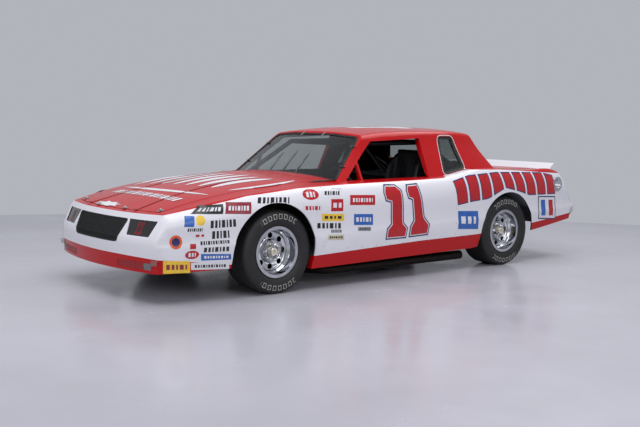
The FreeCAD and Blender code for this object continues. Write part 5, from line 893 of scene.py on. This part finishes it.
# %% Coloured patches and rows of blocks
# each row: base colour or none, its front top, rear top, rear bottom and front bottom corner, block colour,
# number of blocks
PATCH_ROWS = (
    ("black", ((2.084, 0.738), (1.902, 0.744), (1.928, 0.672), (2.178, 0.679)), "white", 6),
    ("maroon", ((1.877, 0.757), (1.668, 0.752), (1.688, 0.662), (1.912, 0.672)), "white", 7),
    ("blue", ((2.226, 0.666), (2.155, 0.664), (2.167, 0.584), (2.244, 0.587)), None, 0),
    (None, ((2.229, 0.579), (2.080, 0.576), (2.086, 0.545), (2.232, 0.548)), "black", 8),
    (None, ((2.060, 0.636), (1.800, 0.640), (1.790, 0.566), (2.064, 0.562)), "black", 7),
    (None, ((2.039, 0.556), (1.860, 0.556), (1.850, 0.484), (2.041, 0.480)), "black", 5),
    (None, ((2.140, 0.478), (1.850, 0.476), (1.846, 0.444), (2.142, 0.440)), "black", 12),
    (None, ((2.111, 0.431), (1.852, 0.428), (1.849, 0.382), (2.113, 0.384)), "black", 7),
    (None, ((1.626, 0.795), (1.265, 0.784), (1.282, 0.722), (1.656, 0.737)), "black", 8),
    (None, ((1.066, 0.566), (0.742, 0.548), (0.740, 0.489), (1.063, 0.509)), "black", 6),
    ("white", ((2.165, 0.539), (2.070, 0.537), (2.071, 0.494), (2.166, 0.494)), "red", 2),
    ("red", ((2.195, 0.457), (2.149, 0.457), (2.150, 0.418), (2.196, 0.418)), None, 0),
    ("blue", ((2.106, 0.377), (1.856, 0.361), (1.849, 0.318), (2.101, 0.325)), "white", 9),
    ("blue", ((0.634, 0.610), (0.415, 0.599), (0.410, 0.504), (0.628, 0.516)), "white", 5),
    ("yellow", ((2.391, 0.338), (2.188, 0.327), (2.180, 0.235), (2.384, 0.239)), "maroon", 5),
    ("white", ((2.180, 0.312), (1.867, 0.299), (1.860, 0.245), (2.174, 0.257)), "black", 12),
    ("white", ((0.944, 0.836), (0.746, 0.830), (0.776, 0.750), (0.978, 0.758)), "black", 6),
    ("white", ((1.181, 0.726), (0.985, 0.718), (0.986, 0.636), (1.179, 0.645)), "red", 5),
    ("red", ((0.883, 0.745), (0.754, 0.741), (0.758, 0.640), (0.890, 0.645)), "white", 2),
    ("yellow", ((0.986, 0.630), (0.747, 0.618), (0.742, 0.557), (0.982, 0.570)), "black", 4),
    (None, ((0.893, 0.498), (0.751, 0.490), (0.753, 0.457), (0.894, 0.465)), "black", 8),
    ("beige", ((0.916, 0.453), (0.743, 0.444), (0.736, 0.396), (0.913, 0.408)), "black", 7),
    ("red", ((0.672, 0.771), (0.390, 0.761), (0.397, 0.676), (0.682, 0.688)), "white", 8),
    ("grey", ((0.583, 0.497), (0.433, 0.490), (0.436, 0.454), (0.584, 0.463)), "black", 6),
    ("blue", ((-0.662, 0.572), (-0.942, 0.559), (-0.957, 0.385), (-0.673, 0.403)), "white", 3),
    ("navy", ((-1.854, 0.665), (-2.157, 0.653), (-2.185, 0.412), (-1.877, 0.431)), None, 0))


def spot_in(corners, s, t):
    """Point of a four-sided patch at shares s from front to rear and t from bottom to top, bilinear."""
    front_top, rear_top, rear_bottom, front_bottom = np.array(corners)
    return (1 - t) * ((1 - s) * front_bottom + s * rear_bottom) + t * ((1 - s) * front_top + s * rear_top)


def blocks_in(corners, count, low=0.30, high=0.70, gap=0.34, slant=0.0, margin=0.08):
    """A row of even blocks inside a four-sided patch, each a share of it with gaps between."""
    # widths vary in a fixed rhythm, so that a row looks lively
    widths = 1 + 0.28 * np.sin(2.4 * np.arange(count) + 0.7)
    edges = margin + (1 - 2 * margin) * np.concatenate([[0], np.cumsum(widths) / widths.sum()])
    step = edges[1] - edges[0]
    starts, ends = edges[:-1] + gap * step / 2, edges[1:] - gap * step / 2
    return [[spot_in(corners, s + slant * step * t, t) for s, t in ((a, low), (b, low), (b, high), (a, high))]
            for a, b in zip(starts, ends)]


layers = defaultdict(list)
for base, corners, block, count in PATCH_ROWS:
    if base:
        layers[1, base].append(corners)
    if block:
        span = (0.30, 0.70) if base else (0.08, 0.86)
        layers[2 if base else 1, block] += blocks_in(corners, count, *span)
layers[1, "yellow"].append(oval(2.112, 0.630, 0.036, 0.038))
layers[1, "orange"].append(oval(2.302, 0.475, 0.048, 0.052))
layers[2, "navy"].append(oval(2.302, 0.475, 0.030, 0.033))
layers[1, "red"] += [oval(2.176, 0.3735, 0.054, 0.032), oval(1.086, 0.790, 0.082, 0.043)]
for corners in (((2.215, 0.389), (2.137, 0.389), (2.137, 0.358), (2.215, 0.358)),
                ((1.146, 0.812), (1.028, 0.810), (1.030, 0.768), (1.150, 0.770))):
    layers[2, "white"] += blocks_in(corners, 3, 0.0, 1.0)
# the card behind the rear wheel is the last row: a white face with a blue and a red upright bar
card = PATCH_ROWS[-1][1]
layers[2, "white"].append(inset(card, 0.012))
for colour, first, last in (("blue", 0.16, 0.40), ("red", 0.60, 0.84)):
    bar = ((first, 0.16), (last, 0.16), (last, 0.84), (first, 0.84))
    layers[3, colour].append([spot_in(card, *spot) for spot in bar])
for side, target in side_targets.items():
    for (layer, colour), outlines in layers.items():
        patch(f"side_patches_{side}_{colour}_{layer}", outlines, side, target, VINYL[colour], layer)
print(len(PATCH_ROWS), "patches on each side in", len(layers), "layers")

# %% Quarter panel blocks
# nine leaning blocks in a row, whose tops and bottoms follow two bowed lines
BLOCK_TOPS = np.array(((-0.596, 0.848), (-0.825, 0.900), (-1.220, 0.921), (-1.560, 0.913), (-1.958, 0.900),
                       (-2.125, 0.868)))
BLOCK_BOTTOMS = np.array(((-0.660, 0.626), (-0.867, 0.652), (-1.081, 0.667), (-1.335, 0.765),
                          (-1.546, 0.723), (-1.705, 0.680), (-2.195, 0.674)))
BLOCK_COUNT, BLOCK_GAP, BLOCK_LEAN, BLOCK_BORDER = 9, 0.026, 0.045, 0.010


def height_on(line, x):
    return np.interp(-x, -line[:, 0], line[:, 1])


tops = np.linspace(BLOCK_TOPS[0, 0], BLOCK_TOPS[-1, 0], BLOCK_COUNT + 1)
quarter_blocks = []
for front, rear in zip(tops[:-1] - BLOCK_GAP / 2, tops[1:] + BLOCK_GAP / 2):
    along = np.linspace(front, rear, 5)
    top = np.stack([along, height_on(BLOCK_TOPS, along)], 1)
    low = np.stack([along - BLOCK_LEAN, height_on(BLOCK_BOTTOMS, along - BLOCK_LEAN)], 1)
    quarter_blocks.append(np.vstack([top, low[::-1]]))
for side, target in side_targets.items():
    patch(f"quarter_blocks_{side}_navy", quarter_blocks, side, target, VINYL["navy"])
    patch(f"quarter_blocks_{side}_red", [inset(shape, BLOCK_BORDER) for shape in quarter_blocks], side,
          target, VINYL["red"], 2)
print(BLOCK_COUNT, "blocks on each quarter panel")

# %% [markdown]
# ## Hood artwork
#
# White brush strokes cross the hood: crescents that lean together, with one long stroke in front. Half a sine
# wave bows each from a straight line, and another swells its middle.

# %% Brush strokes on the hood
STROKE_STEPS = 48
# each row: where the stroke starts and ends as (x, y), how far it bows, its widest half width
BRUSH_ROWS = [((1.86, -0.62), (1.02, -0.50), 0.085, 0.060)]
BRUSH_ROWS += [((1.80 - 0.02 * k, -0.44 + 0.165 * k), (1.17 - 0.03 * (k % 2), -0.35 + 0.165 * k), 0.050,
                0.052) for k in range(6)]
BRUSH_ROWS += [((1.68, 0.60), (1.02, 0.63), -0.060, 0.030), ((1.93, -0.66), (1.86, 0.60), -0.045, 0.026)]


def brush_strokes(rows):
    """Strokes three points wide: foot + s*way + bow*sin(pi s) at shares s, and swell*sin(pi s)^0.6 aside."""
    share = np.linspace(0, 1, STROKE_STEPS)[None, :, None]
    foot, head = (np.array([row[k] for row in rows])[:, None, :] for k in (0, 1))
    bow, swell = (np.array([row[k] for row in rows])[:, None, None] for k in (2, 3))
    way = unit(head - foot)
    off = np.stack([-way[..., 1], way[..., 0]], -1)
    middle = foot + (head - foot) * share + off * bow * np.sin(np.pi * share)
    half_wide = off * swell * np.sin(np.pi * share) ** 0.6
    return np.stack([middle - half_wide, middle, middle + half_wide], 2)


stroke_faces = grid_faces(STROKE_STEPS, 3)
faces = np.concatenate([stroke_faces + k * STROKE_STEPS * 3 for k in range(len(BRUSH_ROWS))])
hood_target = target_of("hood")
dress(laid("hood_brush_strokes", brush_strokes(BRUSH_ROWS).reshape(-1, 2), faces, "top", hood_target,
           VINYL_LIFT * 2), "hood", VINYL["white"])
print(len(BRUSH_ROWS), "strokes")

# %% Small marks and creases on the hood
SMALL_ROW = ((2.115, 0.62), (2.115, -0.62), (2.035, -0.62), (2.035, 0.62))
small_blocks = blocks_in(SMALL_ROW, 18, 0.0, 1.0, 0.35, slant=0.3)
patch("hood_small_blocks", small_blocks, "top", hood_target, VINYL["white"], 3, "hood")
# an eight-pointed star, drawn through sixteen points
CREST = [(2.36 + (0.075 if k % 2 else 0.045) * math.cos(k * math.pi / 8) * 0.8,
          -0.12 + (0.20 if k % 2 else 0.13) * math.sin(k * math.pi / 8)) for k in range(16)]
patch("hood_crest", [CREST], "top", hood_target, VINYL["white"], 3, "hood")
CREASE_LINE = np.array(((2.425, 0.389), (2.02, 0.328), (1.62, 0.300), (1.25, 0.290)))
CREASE_HEIGHT, CREASE_STEPS = 0.0035, 60
# red enamel on the crease bead, painted darker than the hood round it as painted shade, as a groove catches
# less light
crease_shade_paint = enamel("red enamel darkened as painted crease shade", "#7c0d12", undercoat_and_shade=False)
taper = np.interp(np.arange(CREASE_STEPS), [0, 45, CREASE_STEPS - 1], [0.0080, 0.0060, 0.0010])[:, None]
for side, sign in SIDES.items():
    path = curve_through(CREASE_LINE * (1, sign), CREASE_STEPS)
    way = unit(np.gradient(path, axis=0))
    off = np.stack([-way[:, 1], way[:, 0]], 1) * taper
    bead = np.stack([path - off, path, path + off], 1).reshape(-1, 2)
    crease = laid(f"hood_crease_{side}", bead, grid_faces(CREASE_STEPS, 3), "top", hood_target, 0.0)
    dress(thicken(crease, CREASE_HEIGHT), "hood", crease_shade_paint)

# %% Hood pins
PIN_SPOTS = ((2.30, 0.62), (2.385, 0.22), (2.385, -0.22), (2.30, -0.62))
POST = ((0.0, -0.004), (0.0055, -0.004), (0.0055, 0.016), (0.0040, 0.020), (0.0, 0.021))
COLLAR = ((0.0055, 0.0), (0.014, 0.0), (0.012, 0.004), (0.0055, 0.0045))


def on_hood(x, y, step=0.004):
    """The hood's point above (x, y), read from a small triangle laid there."""
    corners = np.array([(x, y), (x + step, y), (x, y + step)])
    probe = laid("probe", corners, np.array([[0, 1, 2]]), "top", hood_target, 0.0)
    spot = positions(probe)[0]
    bpy.data.objects.remove(probe)
    return spot


plates = [oval(x, y, 0.026, 0.026, 32) for x, y in PIN_SPOTS]
patch("hood_pin_plates", plates, "top", hood_target, stainless, 4, "hood", cell=0.009)
feet = [on_hood(x, y) for x, y in PIN_SPOTS]
dress(turned("hood_pin_posts", POST, feet, (0, 0, 1), 20), "hood", stainless)
dress(turned("hood_pin_collars", COLLAR, feet, (0, 0, 1), 24, True), "hood", window_rubber)
turn = np.linspace(-0.75 * math.pi, 0.75 * math.pi, 24)
bow = np.stack([0.014 * np.cos(turn) + 0.010, 0.012 * np.sin(turn), np.full(24, 0.013)], 1)
bows = [swept("bow", foot + bow, oval(0, 0, 0.0013, 0.0013, 8), (0, 0, 1)) for foot in feet]
dress(joined("hood_pin_bows", bows), "hood", stainless)
print("hood dressed with", len(PIN_SPOTS), "pins")

# %% [markdown]
# ## Screens, lamps and fuel filler
#
# The grille is a black wire screen in front of a dark opening, and the two duct mouths low in the nose have
# grey ones. A grid of squares is laid on the frame's panel and a Wireframe modifier makes its edges wire.

# %% Wire screens
GRILLE = ((-0.374, 0.611), (0.374, 0.611), (0.329, 0.450), (-0.329, 0.450))
DUCT = ((0.655, 0.338), (0.822, 0.340), (0.806, 0.300), (0.655, 0.284))
WIRE_PITCH, WIRE, DUCT_TOP = 0.013, 0.0024, 0.40
screen_target = target_of("grille_and_duct_screens")


def screen(name, corners, material):
    """Square mesh between four corners at shares s across and t down, blended bilinearly, made wire."""
    top_a, top_b, low_b, low_a = np.array(corners, float)
    columns = int(np.linalg.norm(top_b - top_a) / WIRE_PITCH) + 1
    rows = int(np.linalg.norm(low_a - top_a) / WIRE_PITCH) + 2
    s, t = np.meshgrid(np.linspace(0, 1, columns), np.linspace(0, 1, rows))
    s, t = s[..., None], t[..., None]
    flat = (1 - t) * ((1 - s) * top_a + s * top_b) + t * ((1 - s) * low_a + s * low_b)
    made = laid(name, flat.reshape(-1, 2), grid_faces(rows, columns), "front", screen_target, 0.0012)
    wire = made.modifiers.new("wire", "WIREFRAME")
    wire.thickness = WIRE
    wire.use_replace = wire.use_even_offset = True
    bake(made)
    dress(made, "chassis", material)


def screen_backing():
    """Paint behind the screens: black at the grille as painted shade of its opening, red in the duct recesses
    with a grey outer third.
    """
    made, tree, shader, place, axes = start_material("painted screen backing")
    m = partial(maths, tree)
    low = m("LESS_THAN", axes["Z"], DUCT_TOP)
    outer = m("GREATER_THAN", m("ABSOLUTE", axes["Y"]), DUCT[0][0])
    # painted shade: near-black where the opening behind the grille lies in shade
    shade = mottle(tree, place, 120.0, 3.0, (0.3, "#09090b"), (0.7, "#131316"))
    plug(tree, shader, Base_Color=mix(tree, low, shade, mix(tree, outer, "#8e1119", "#6d6d70")),
         Roughness=mottle(tree, place, 40.0, 4.0, (0.3, 0.40), (0.7, 0.55)))
    return made


screen("grille_wire", GRILLE, screen_black)
backing = nodes["grille_and_duct_screens"].data.materials
backing.clear()
backing.append(screen_backing())
for side, sign in SIDES.items():
    corners = [(sign * y, z) for y, z in DUCT]
    screen(f"duct_wire_{side}", corners if sign > 0 else corners[::-1], zinc_plate)
frame_strip("grille_edge_rubber", rounded(inset(GRILLE, -0.010), 0.03), 0.010, "front",
            target_of("grille_and_duct_screens", "nose_piece"), window_rubber, 0.004)
print("three screens with wires every", WIRE_PITCH, "m")


# %% Lamp covers and tail lamps
def smoked_cover():
    """Moulded acrylic sheet over the lamps, painted black behind: deep black with a hard clear gloss."""
    made, tree, shader, place, _ = start_material("black acrylic lamp cover")
    plug(tree, shader, Base_Color=mottle(tree, place, 12.0, 5.0, (0.3, "#101013"), (0.7, "#1a1a1e")),
         Roughness=mottle(tree, place, 30.0, 5.0, (0.3, 0.12), (0.7, 0.22)), IOR=1.49, Coat_Weight=0.4)
    return made


def lamp_lens():
    """Moulded clear red acrylic over 8 mm square prisms, drawn as a grid of ridges, with painted shade in the
    grooves.
    """
    made, tree, shader, _, axes = start_material("red acrylic tail lens")
    m = partial(maths, tree)
    ridges = [m("ABSOLUTE", m("SINE", m("MULTIPLY", axes[axis], math.pi / 0.008))) for axis in ("Y", "Z")]
    prism = m("MINIMUM", *ridges)
    plug(tree, shader, Base_Color=ramp(tree, prism, (0.0, "#5e070c"), (1.0, "#b3121c")), Roughness=0.12,
         IOR=1.49, Coat_Weight=0.6)
    bump(tree, shader, prism, 0.0015)
    return made


reskin(smoked_cover(), "headlamp_covers")
LENS_LOW, LENS_HIGH, LENS_SPANS = 0.655, 0.755, ((0.36, 0.545), (0.555, 0.74))
lens = lamp_lens()
tail_target = target_of("tail_panel")
for side, sign in SIDES.items():
    for part, (near, far) in enumerate(LENS_SPANS):
        lamp = rounded([(sign * near, LENS_LOW), (sign * far, LENS_LOW), (sign * far, LENS_HIGH),
                        (sign * near, LENS_HIGH)], 0.012)
        patch(f"tail_lens_{side}_{part}", [lamp], "rear", tail_target, lens, 6)
        frame_strip(f"tail_bezel_{side}_{part}", inset(lamp, -0.008), 0.010, "rear", tail_target, chrome,
                    0.005)
print("tail lamps at both sides")

# %% Fuel filler and rivets
FILLER, FILLER_RING, FILLER_SCREWS = np.array((-2.183, 0.775)), 0.057, 0.0490
SILL_RIVETS = [(x, 0.325) for x in np.arange(-0.80, 0.85, 0.165)]
SEAM_RIVETS = [(-0.640, z) for z in (0.36, 0.46, 0.60, 0.72, 0.83)] + [(0.955, z) for z in (0.36, 0.60, 0.84)]
reskin(bare_aluminium, "fuel_filler")
frame_strip("filler_ring", oval(*FILLER, FILLER_RING, FILLER_RING, 48), 0.017, "left", side_targets["left"],
            bare_aluminium, 0.0025)


def rivets(name, spots, plane, target, radius=0.0048, body="chassis"):
    """Domed rivet heads at flat (u, v) places: each a disc whose middle stands 1.7 mm proud of its seat."""
    u, v, depth, side = PLANES[plane]
    discs = [oval(*spot, radius, radius, 6) for spot in spots]
    seats = laid("seats", *filled(discs, 0.05), plane, target, 0.0)
    place = positions(seats)
    bpy.data.objects.remove(seats)
    middles = [place[np.hypot(*(place[:, [u, v]] - spot).T) < 1.5 * radius].mean(axis=0) for spot in spots]
    dome = [(0.0, -0.001), (radius, -0.001), (radius * 0.9, 0.0008), (radius * 0.5, 0.0015), (0.0, 0.0017)]
    dress(turned(name, dome, middles, np.eye(3)[depth] * side, 10), body, stainless)


ring_turn = np.radians(30 + 60 * np.arange(6))[:, None]
screws = FILLER + FILLER_SCREWS * np.hstack([np.cos(ring_turn), np.sin(ring_turn)])
rivets("filler_screws", screws, "left", side_targets["left"])
for side, target in side_targets.items():
    rivets(f"sill_rivets_{side}", SILL_RIVETS, side, target)
    rivets(f"seam_rivets_{side}", SEAM_RIVETS, side, target)
rivets("spoiler_rivets", [(y, 0.926) for y in np.linspace(-0.70, 0.70, 11)], "rear", target_of("spoiler"),
       0.006, "decklid")
print("filler, sills, seams and spoiler screwed and riveted")

# %% [markdown]
# ## Cabin
#
# Inside there is one bucket seat, a roll cage of welded tube, a plain dashboard with round gauges and a
# harness. The seat is foam under vinyl, so the frame's seat is remeshed and swollen a little by a cloth
# simulation with air pressure; sewn channels are pressed into it afterwards.

# %% Seat
SEAT_MIDDLE, SWELL_CAP, SEAT_VOXEL = 0.385, 0.007, 0.010
SEAT_SHRINK = (0.985, 0.965, 0.99, 1.0)
CHANNELS, CHANNEL_DEPTH, CHANNEL_WIDTH, BOLSTER = (-0.11, -0.055, 0.0, 0.055, 0.11), 0.004, 0.005, 0.15


def swollen(piece, voxel, cap, pressure=4.0):
    """Remesh, inflate for 20 frames as cloth with gravity off, cap each point's way, then subdivide once."""
    grid = piece.modifiers.new("even mesh", "REMESH")
    grid.mode = "VOXEL"
    grid.voxel_size = voxel
    bake(piece)
    before = positions(piece)
    air = piece.modifiers.new("air", "CLOTH")
    air.settings.use_pressure = True
    air.settings.uniform_pressure_force = pressure
    air.settings.effector_weights.gravity = 0.0
    air.settings.quality = 4
    for step in range(1, 21):
        bpy.context.scene.frame_set(step)
    bake(piece)
    way = positions(piece) - before
    far = np.linalg.norm(way, axis=1, keepdims=True)
    capped = before + way * np.minimum(1, cap / np.maximum(far, 1e-9))
    piece.data.vertices.foreach_set("co", capped.ravel())
    bpy.context.scene.frame_set(1)
    finer = piece.modifiers.new("finer", "SUBSURF")
    finer.levels = finer.render_levels = 1
    bake(piece)
    piece.data.shade_smooth()


seat = smooth_copy("driver_seat")
seat.name = "seat_cover"
middle = Vector([(a + b) / 2 for a, b in zip(*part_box("driver_seat"))])
seat.data.transform(Matrix.Translation(middle) @ Matrix.Diagonal(SEAT_SHRINK) @ Matrix.Translation(-middle))
swollen(seat, SEAT_VOXEL, SWELL_CAP)
# sewn channels run up the back and along the cushion between the bolsters
place = positions(seat)
normals = np.empty(len(place) * 3)
seat.data.vertices.foreach_get("normal", normals)
normals = normals.reshape(-1, 3)
off = place[:, 1] - SEAT_MIDDLE
groove = CHANNEL_DEPTH * sum(np.exp(-((off - at) / CHANNEL_WIDTH) ** 2) for at in CHANNELS)
facing = np.clip(normals[:, 0] + normals[:, 2], 0, 1) * (np.abs(off) < BOLSTER)
seat.data.vertices.foreach_set("co", (place - normals * (groove * facing)[:, None]).ravel())
dress(seat, "chassis", seat_vinyl)
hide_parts("driver_seat")
print("seat of", len(place), "points")

# %% Harness
WEBBING = box_section(0.045, 0.0025)
BUCKLE = (-0.335, SEAT_MIDDLE, 0.470)
CAM = ((0.0, -0.008), (0.034, -0.008), (0.036, 0.0), (0.034, 0.010), (0.028, 0.013), (0.0, 0.013))
# the path of a strap as (x, away from the seat's middle, z); each goes on to the buckle
SHOULDER = ((-0.640, 0.075, 1.02), (-0.590, 0.085, 1.085), (-0.530, 0.085, 0.995), (-0.470, 0.075, 0.80),
            (-0.415, 0.050, 0.62))
LAP = ((-0.42, 0.165, 0.452), (-0.375, 0.110, 0.462))
CROTCH = ((-0.10, 0.0, 0.402), (-0.22, 0.0, 0.420))
# each row: path, hand, points along it, way its flat side lies
STRAPS = ((SHOULDER, -1, 60, (0, 1, 0)), (LAP, -1, 30, (0.4, 0, 1)), (SHOULDER, 1, 60, (0, 1, 0)),
          (LAP, 1, 30, (0.4, 0, 1)), (CROTCH, 1, 30, (0, 1, 0)))
straps = []
for line, hand, steps, across in STRAPS:
    path = np.vstack([np.array(line) * (1, hand, 1) + (0, SEAT_MIDDLE, 0), BUCKLE])
    straps.append(swept("strap", curve_through(path, steps), WEBBING, across))
dress(joined("harness", straps), "chassis", belt_webbing)
dress(turned("harness_buckle", CAM, np.array(BUCKLE) + (0.008, 0, 0.008), (0.75, 0, 0.66), 36), "chassis",
      stainless)
print(len(straps), "straps")

# %% Dashboard and gauges
GAUGE_PLACES = (0.205, 0.275, 0.385, 0.495, 0.565)
BEZEL = ((0.026, -0.006), (0.031, -0.006), (0.031, 0.007), (0.029, 0.009), (0.026, 0.006))
FACE = ((0.0, -0.002), (0.0265, -0.002), (0.0265, 0.001), (0.0, 0.001))
FACE_AXIS = np.array(Vector((-0.86, 0, 0.50)).normalized())
FACE_ACROSS = np.array((0, 1, 0.0))
FACE_UP = np.cross(FACE_AXIS, FACE_ACROSS)
NEEDLE = 0.021
dash_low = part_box("dashboard")[0]
gauge_spots = [(dash_low[0] + 0.020, y, dash_low[2] + 0.048) for y in GAUGE_PLACES]
# printed dial paper under glass: plain pale white discs, with a gloss over them
dial_paper = finish("white dial paper", ("#d9d9d4", "#e4e4df"), (0.18, 0.28), 0.01, coat=0.5)
dress(turned("gauge_bezels", BEZEL, gauge_spots, FACE_AXIS, 32, True), "chassis", chrome)
dress(turned("gauge_faces", FACE, gauge_spots, FACE_AXIS, 32), "chassis", dial_paper)
needles = []
for number, spot in enumerate(gauge_spots):
    lean = math.radians(120 + 25 * number)
    base = np.array(spot) + FACE_AXIS * 0.003
    tip = base + NEEDLE * (math.cos(lean) * FACE_ACROSS + math.sin(lean) * FACE_UP)
    needles.append(swept("needle", np.linspace(base, tip, 4), box_section(0.003, 0.0012), FACE_AXIS))
dress(joined("gauge_needles", needles), "chassis", VINYL["red"])
# wrinkle-finish enamel on the dashboard: black, dull and rough to the eye
crackle = finish("black crackle enamel", ("#0f0f11", "#1d1d20"), (0.50, 0.66), 0.004, 0.0004)
reskin(crackle, "dashboard")
reskin(grip_rubber, "steering_wheel")

# %% [markdown]
# ## Frame, axles and sheet metal
#
# What shows below and through the openings keeps the frame's shape and gets the finish of the real part.
# Merged copies stand for the frame's loose triangles, so tubes and drums shade round.

# %% Finishes of the inner parts
reskin(black_coat, "roll_cage", "front_control_arms", "rear_axle", "fuel_cell", "steering_column")
reskin(frame_paint, "frame_rails", "rear_trailing_arms")
reskin(primer_sheet, "floor_pan", "firewall", "rear_bulkhead_and_shelf", "boot_floor", "rear_wheel_tubs")
reskin(cast_metal, "gearbox", "engine_block", "knuckle_left", "knuckle_right")
reskin(zinc_plate, "springs_and_shocks", "hood_hinge_arms", "hood_hinge_brackets", "decklid_hinge_arms",
       "decklid_hinge_brackets", "driveshaft")
reskin(bare_aluminium, "radiator", "windshield_braces")
reskin(hot_steel, "exhaust_pipes")

# %% [markdown]
# Behind each rear tyre a curved liner closes the arch, so no daylight shows between the tyre and the boot.

# %% Rear arch liners
LINER_RADIUS, LINER_FROM, LINER_TO = 0.452, 8.0, 62.0
LINER_INNER, LINER_OUTER, LINER_THICK = 0.560, 0.905, 0.0016
turn = np.radians(np.linspace(LINER_FROM, LINER_TO, 24))
arc = np.stack([-AXLE_X - LINER_RADIUS * np.cos(turn), TYRE_RADIUS + LINER_RADIUS * np.sin(turn)], 1)
for side, sign in SIDES.items():
    across = sign * np.linspace(LINER_INNER, LINER_OUTER, 6)
    sheet = np.stack([np.insert(arc, 1, y, axis=1) for y in across], 1)
    liner = grid_piece(f"rear_arch_liner_{side}", sheet[::-1] if sign > 0 else sheet)
    dress(thicken(liner, LINER_THICK), "chassis", primer_sheet)
print("liners from", LINER_FROM, "to", LINER_TO, "degrees")

# %% Clear the targets away
for spare in [o for o in bpy.data.objects if o.name.startswith("target")]:
    bpy.data.objects.remove(spare)
